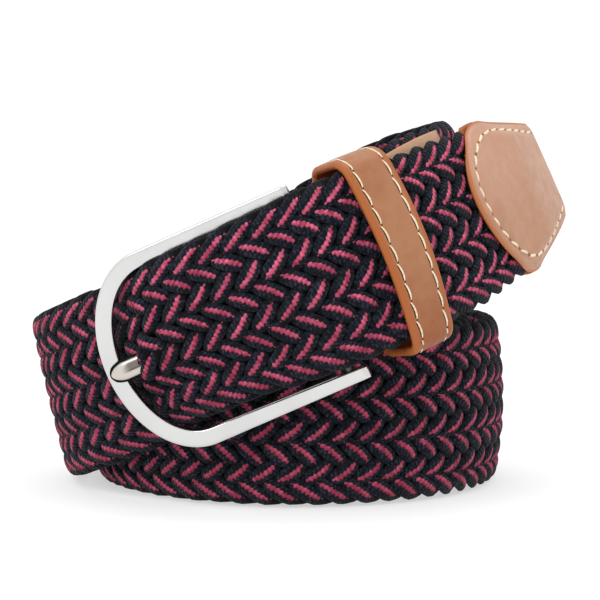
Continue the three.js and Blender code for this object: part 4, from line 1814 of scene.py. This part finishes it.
@dataclass
class KeeperLoop:
    """The leather loop round the strap, the tab and the buckle end, in millimetres."""

    route: Route
    centre: float = 60.9
    width: float = 10.3
    leather: float = 1.6
    strap_half_thickness: float = 2.0
    outer_gap: float = 0.35
    top_gap: float = 1.5
    lower_gap: float = 0.7
    back: float = 10.4
    back_inset: float = 0.5
    front_round: float = 2.8
    back_round: float = 1.9
    lower_round: float = 1.4
    bow: float = 1.6
    skew: float = 0.13
    edge_round: float = 0.76
    crown: float = 0.16
    groove: float = 0.15
    groove_width: float = 0.5
    crown_from: float = 0.2
    rim_from: float = 0.3
    stitch_inset: float = 1.75
    stitch_crown: float = 0.55

    def ring(self, count: int = 150) -> tuple[Array, Array]:
        """The middle of the leather round the loop.

        Args:
            count: how many points to give.

        Returns:
            Points and outward directions as (x, y), where x points down across the strap and y out of it.
        """
        grow = self.leather / 2
        low = self.route.half_width + self.lower_gap + grow
        top = -self.route.half_width - self.top_gap - grow
        front, back = self.strap_half_thickness + self.outer_gap + grow, -self.back - grow
        low_back = low - self.back_inset
        lower, upper, behind = self.lower_round + grow, self.front_round + grow, self.back_round + grow
        corners = (
            (low - lower, front - lower, lower, 0),
            (top + upper, front - upper, upper, 90),
            (top + behind, back + behind, behind, 180),
            (low_back - lower, back + lower, lower, 270),
        )
        arcs = []
        for x, y, radius, start in corners:
            turns = np.radians(np.linspace(start, start + 90, 9))
            arcs.append(np.stack([x + radius * np.cos(turns), y + radius * np.sin(turns)], axis=1))
        part = np.linspace(0, 1, 26)[1:-1, None]
        rows = []
        for index, arc in enumerate(arcs):
            side = arc[-1] + (arcs[(index + 1) % 4][0] - arc[-1]) * part
            bow = self.bow if index == 0 else 0.0
            rows += [arc, side + np.array((0, bow)) * np.sin(math.pi * part)]
        closed = np.vstack([*rows, rows[0][:1]])
        run = run_along(closed)
        at = np.linspace(0, run[-1], count, endpoint=False)
        points = np.stack([np.interp(at, run, closed[:, axis]) for axis in range(2)], axis=1)
        for _ in range(3):
            points = (np.roll(points, 1, axis=0) + 2 * points + np.roll(points, -1, axis=0)) / 4
        along = unit(np.roll(points, -1, axis=0) - np.roll(points, 1, axis=0))
        return points, np.stack([along[:, 1], -along[:, 0]], axis=1)

    def place(self, point: Array, aside: Array) -> Array:
        """Turns a point of the ring's plane and a distance towards the buckle into metres."""
        distance = self.centre + aside + self.skew * np.minimum(point[..., 1], 0.0)
        return self.route.place(distance, -point[..., 0], point[..., 1])

    def build(self, leather: Finish, thread: Finish, hole_and_shadow_finish: Finish) -> list[Piece]:
        """Builds the loop and its two rows of stitches.

        Args:
            leather: the loop's finish.
            thread: the finish of the stitches.
            hole_and_shadow_finish: the finish of their holes and of the painted shadow lines beside the
                stitches.

        Returns:
            The pieces.
        """
        ring, outward = self.ring()
        outline = rounded_strip(self.width / 2, self.leather / 2, self.edge_round, 24, 5)
        side, out = outline.T
        from_side = self.width / 2 - np.abs(side)
        groove = self.groove * ridge(from_side, self.stitch_inset, self.groove_width)
        crown = self.crown * (1 - (side / (self.width / 2)) ** 2)
        thick = out + np.where(out > self.crown_from, crown - groove, 0.0)
        points = self.place(ring[:, None] + outward[:, None] * thick[None, :, None], side[None])
        rim = np.repeat(np.where(out > self.rim_from, from_side, 0.0)[None], len(ring), axis=0)
        mesh = tube(points, {"rim": rim}, capped=False)
        loop = new_piece("keeper_leather", mesh, leather, Slot.LEATHER, "keeper_loop")
        stitching = Stitching(
            "keeper",
            "keeper_loop",
            pitch=3.8,
            length=3.7,
            radius=0.24,
            slant=5.0,
            dive=0.12,
            bow=-0.30,
            hole_radius=0.27,
            shadow=0.20,
        )
        skin = self.leather / 2 + self.crown * self.stitch_crown - self.groove
        _, up, front = self.route.directions(self.route.angle_at(np.full(len(ring), self.centre)))
        normals = front * outward[:, 1:] - up * outward[:, :1]
        closed = np.append(np.arange(len(ring)), 0)
        for way in (-1, 1):
            row = self.place(ring + outward * skin, way * (self.width / 2 - self.stitch_inset))
            stitching.add_row(row[closed], normals[closed])
        return [loop, *stitching.build(thread, hole_and_shadow_finish)]


@dataclass
class BuckleTab:
    """The leather strip folded round the hinge bar, over both faces of the braid's end."""

    route: Route
    leather: float = 1.1
    half_width: float = 15.5
    length: float = 42.0
    inner_half_gap: float = 2.5
    fold_inner_radius: float = 1.6
    slot_half_width: float = 2.5
    slot_reach: float = 8.0
    braid_end: float = 5.5
    stitch_inset: float = 3.6
    stitch_from: float = 7.0
    columns: int = 65

    @property
    def fold(self) -> float:
        """Radius of the leather's middle round the hinge bar."""
        return self.fold_inner_radius + self.leather / 2

    def height(self, along: Array) -> Array:
        """Height of the leather's middle over the strap's, at a distance before the hinge bar."""
        face = self.inner_half_gap + self.leather / 2
        return self.fold + (face - self.fold) * smooth(along, 0, self.braid_end)

    def build(self, leather: Finish, thread: Finish, hole: Finish) -> list[Piece]:
        """Builds the folded strip, with its slot for the prong, and its stitches.

        Args:
            leather: the strip's finish.
            thread: the finish of the stitches.
            hole: the finish of their holes.

        Returns:
            The pieces.
        """
        leaf = np.linspace(self.length, 0, 41)[:-1]
        leaf = np.stack([leaf, self.height(leaf)], axis=1)
        turns = np.linspace(math.pi / 2, -math.pi / 2, 17)
        bend = self.fold * np.stack([-np.cos(turns), np.sin(turns)], axis=1)
        rows = np.vstack([leaf, bend, leaf[::-1] * (1, -1)])
        mesh = bmesh.new()
        bmesh.ops.create_grid(mesh, x_segments=self.columns - 1, y_segments=len(rows) - 1, size=1.0)
        rim = mesh.verts.layers.float.new("rim")
        along, out = np.repeat(rows, self.columns, axis=0).T
        side = np.tile(np.linspace(-self.half_width, self.half_width, self.columns), len(rows))
        points = self.route.place(self.route.length - along, side, out)
        in_slot = set()
        for index, vert in enumerate(mesh.verts):
            vert.co = points[index]
            vert[rim] = min(self.half_width - abs(side[index]), self.length - along[index])
            if abs(side[index]) < self.slot_half_width and along[index] < self.slot_reach:
                in_slot.add(vert)
        cut = [face for face in mesh.faces if all(vert in in_slot for vert in face.verts)]
        bmesh.ops.delete(mesh, geom=cut, context="FACES")
        strip = new_piece("tab_leather", mesh, leather, Slot.LEATHER, "buckle_tab")
        thicken = strip.modifiers.new("thickness", "SOLIDIFY")
        thicken.thickness = self.leather * MM
        thicken.offset = 0.0
        return [strip, *self.stitching().build(thread, hole)]

    def stitching(self) -> Stitching:
        """A row of stitches round the strip's three cut edges, on both faces.

        Returns:
            The stitching, ready to be built.
        """
        edge, far = self.half_width - self.stitch_inset, self.length - self.stitch_inset
        upper = [(along, edge) for along in np.linspace(self.stitch_from, far, 40)]
        end = [(far, across) for across in np.linspace(edge, -edge, 40)[1:-1]]
        path = np.array(upper + end + [(along, -across) for along, across in reversed(upper)])
        stitching = Stitching("tab", "buckle_tab")
        distance = self.route.length - path[:, 0]
        _, _, out = self.route.directions(self.route.angle_at(distance))
        for face in (1, -1):
            height = face * (self.height(path[:, 0]) + self.leather / 2)
            stitching.add_row(self.route.place(distance, path[:, 1], height), out * face)
        return stitching


@dataclass
class AreaLight:
    """A square soft light that looks at the belt."""

    name: str
    place: tuple[float, float, float]
    size: float
    power: float

    def build(self, target: Vector) -> None:
        """Adds the light.

        Args:
            target: the point that it looks at.
        """
        data = bpy.data.lights.new(self.name, "AREA")
        data.shape = "SQUARE"
        data.size = self.size
        data.energy = self.power
        light = bpy.data.objects.new(self.name, data)
        light.location = self.place
        light.rotation_euler = (target - Vector(self.place)).to_track_quat("-Z", "Y").to_euler()
        bpy.context.scene.collection.objects.link(light)


@dataclass
class Studio:
    """The floor, the soft lights and the camera."""

    route: Route
    distance: float = 560.0
    pitch: float = 5.4
    focal_pixels: float = 2632.0
    picture: float = 600.0
    watched_height: float = 30.0
    watched_pixel: tuple[float, float] = (280.5, 336.0)
    floor_radius: float = 8.0
    world_strength: float = 1.08
    lights: tuple[AreaLight, ...] = (
        AreaLight("key", (-0.5, -0.8, 0.8), 0.5, 3.5),
        AreaLight("top", (0.05, 0.15, 1.2), 0.7, 2.5),
    )

    def build(self) -> None:
        """Builds the floor, the lights, the world and the camera."""
        mesh = bmesh.new()
        bmesh.ops.create_circle(mesh, cap_ends=True, segments=64, radius=self.floor_radius)
        data = bpy.data.meshes.new("floor")
        mesh.to_mesh(data)
        mesh.free()
        data.materials.append(StudioFloor().material())
        floor = bpy.data.objects.new("floor", data)
        bpy.context.scene.collection.objects.link(floor)
        target = Vector((*self.route.coil_axis, self.watched_height)) * MM
        for light in self.lights:
            light.build(target)
        world = bpy.data.worlds.new("studio")
        world.use_nodes = True
        background = world.node_tree.nodes["Background"]
        background.inputs["Color"].default_value = (1, 1, 1, 1)
        background.inputs["Strength"].default_value = self.world_strength
        bpy.context.scene.world = world
        self.build_camera(target)

    def build_camera(self, target: Vector) -> None:
        """Adds the camera, aimed so that the watched point falls on its pixel.

        Args:
            target: the watched point.
        """
        pitch, away = math.radians(self.pitch), self.distance * MM
        data = bpy.data.cameras.new("camera")
        data.sensor_width = 36.0
        data.lens = data.sensor_width * self.focal_pixels / self.picture
        camera = bpy.data.objects.new("camera", data)
        camera.location = target + Vector((0, -away * math.cos(pitch), away * math.sin(pitch)))
        right = (self.picture / 2 - self.watched_pixel[0]) / self.focal_pixels * away
        up = (self.watched_pixel[1] - self.picture / 2) / self.focal_pixels * away
        aim = target + Vector((right, up * math.sin(pitch), up * math.cos(pitch)))
        camera.rotation_euler = (aim - camera.location).to_track_quat("-Z", "Y").to_euler()
        bpy.context.scene.collection.objects.link(camera)
        bpy.context.scene.camera = camera


def report(pieces: Iterable[Piece]) -> None:
    """Logs the names of a sub-assembly's pieces."""
    LOG.info("built %s", ", ".join(piece.name for piece in pieces))


def main() -> None:
    """Builds the belt's sub-assemblies in order, then the studio."""
    logging.basicConfig(level=logging.INFO, format="%(name)s: %(message)s")
    route = Route()
    leather, thread, hole = TanLeather(), Thread(), PunchedHole()
    keeper_leather = TanLeather(
        "burnished_deep_leather",
        face=(0.365, 0.160, 0.076, 1),
        face_shaded_low=(0.25, 0.064, 0.014, 1),
        edge=(0.36, 0.100, 0.022, 1),
        edge_start=1.5,
        edge_full=0.7,
        low_shade_ramp=(0.056, 0.028),
        gloss=0.30,
        coat=0.0,
    )
    tab_edge = (0.50, 0.27, 0.15, 1)
    tab_leather = TanLeather("plain_tan_leather", (0.56, 0.33, 0.20, 1), tab_edge, tab_edge)
    prong_silver = SatinMetal("warm_silver", (0.60, 0.56, 0.51, 1), low_roughness=0.22, high_roughness=0.32)
    # A near-black finish for the keeper's holes and its painted shadow lines.
    hole_and_shadow_finish = PunchedHole("keeper_hole_and_painted_shadow", (0.095, 0.032, 0.010, 1))
    tip, buckle = LeatherTip(route), Buckle(route)
    report(tip.build(leather, thread, hole))
    report(buckle.build(SatinMetal(), prong_silver))
    report(BraidedStrap(route, tip, buckle).build(WovenCord()))
    report(KeeperLoop(route).build(keeper_leather, thread, hole_and_shadow_finish))
    report(BuckleTab(route).build(tab_leather, thread, hole))
    Studio(route).build()
    bpy.context.scene.view_settings.view_transform = "Standard"


if __name__ == "__main__":
    main()
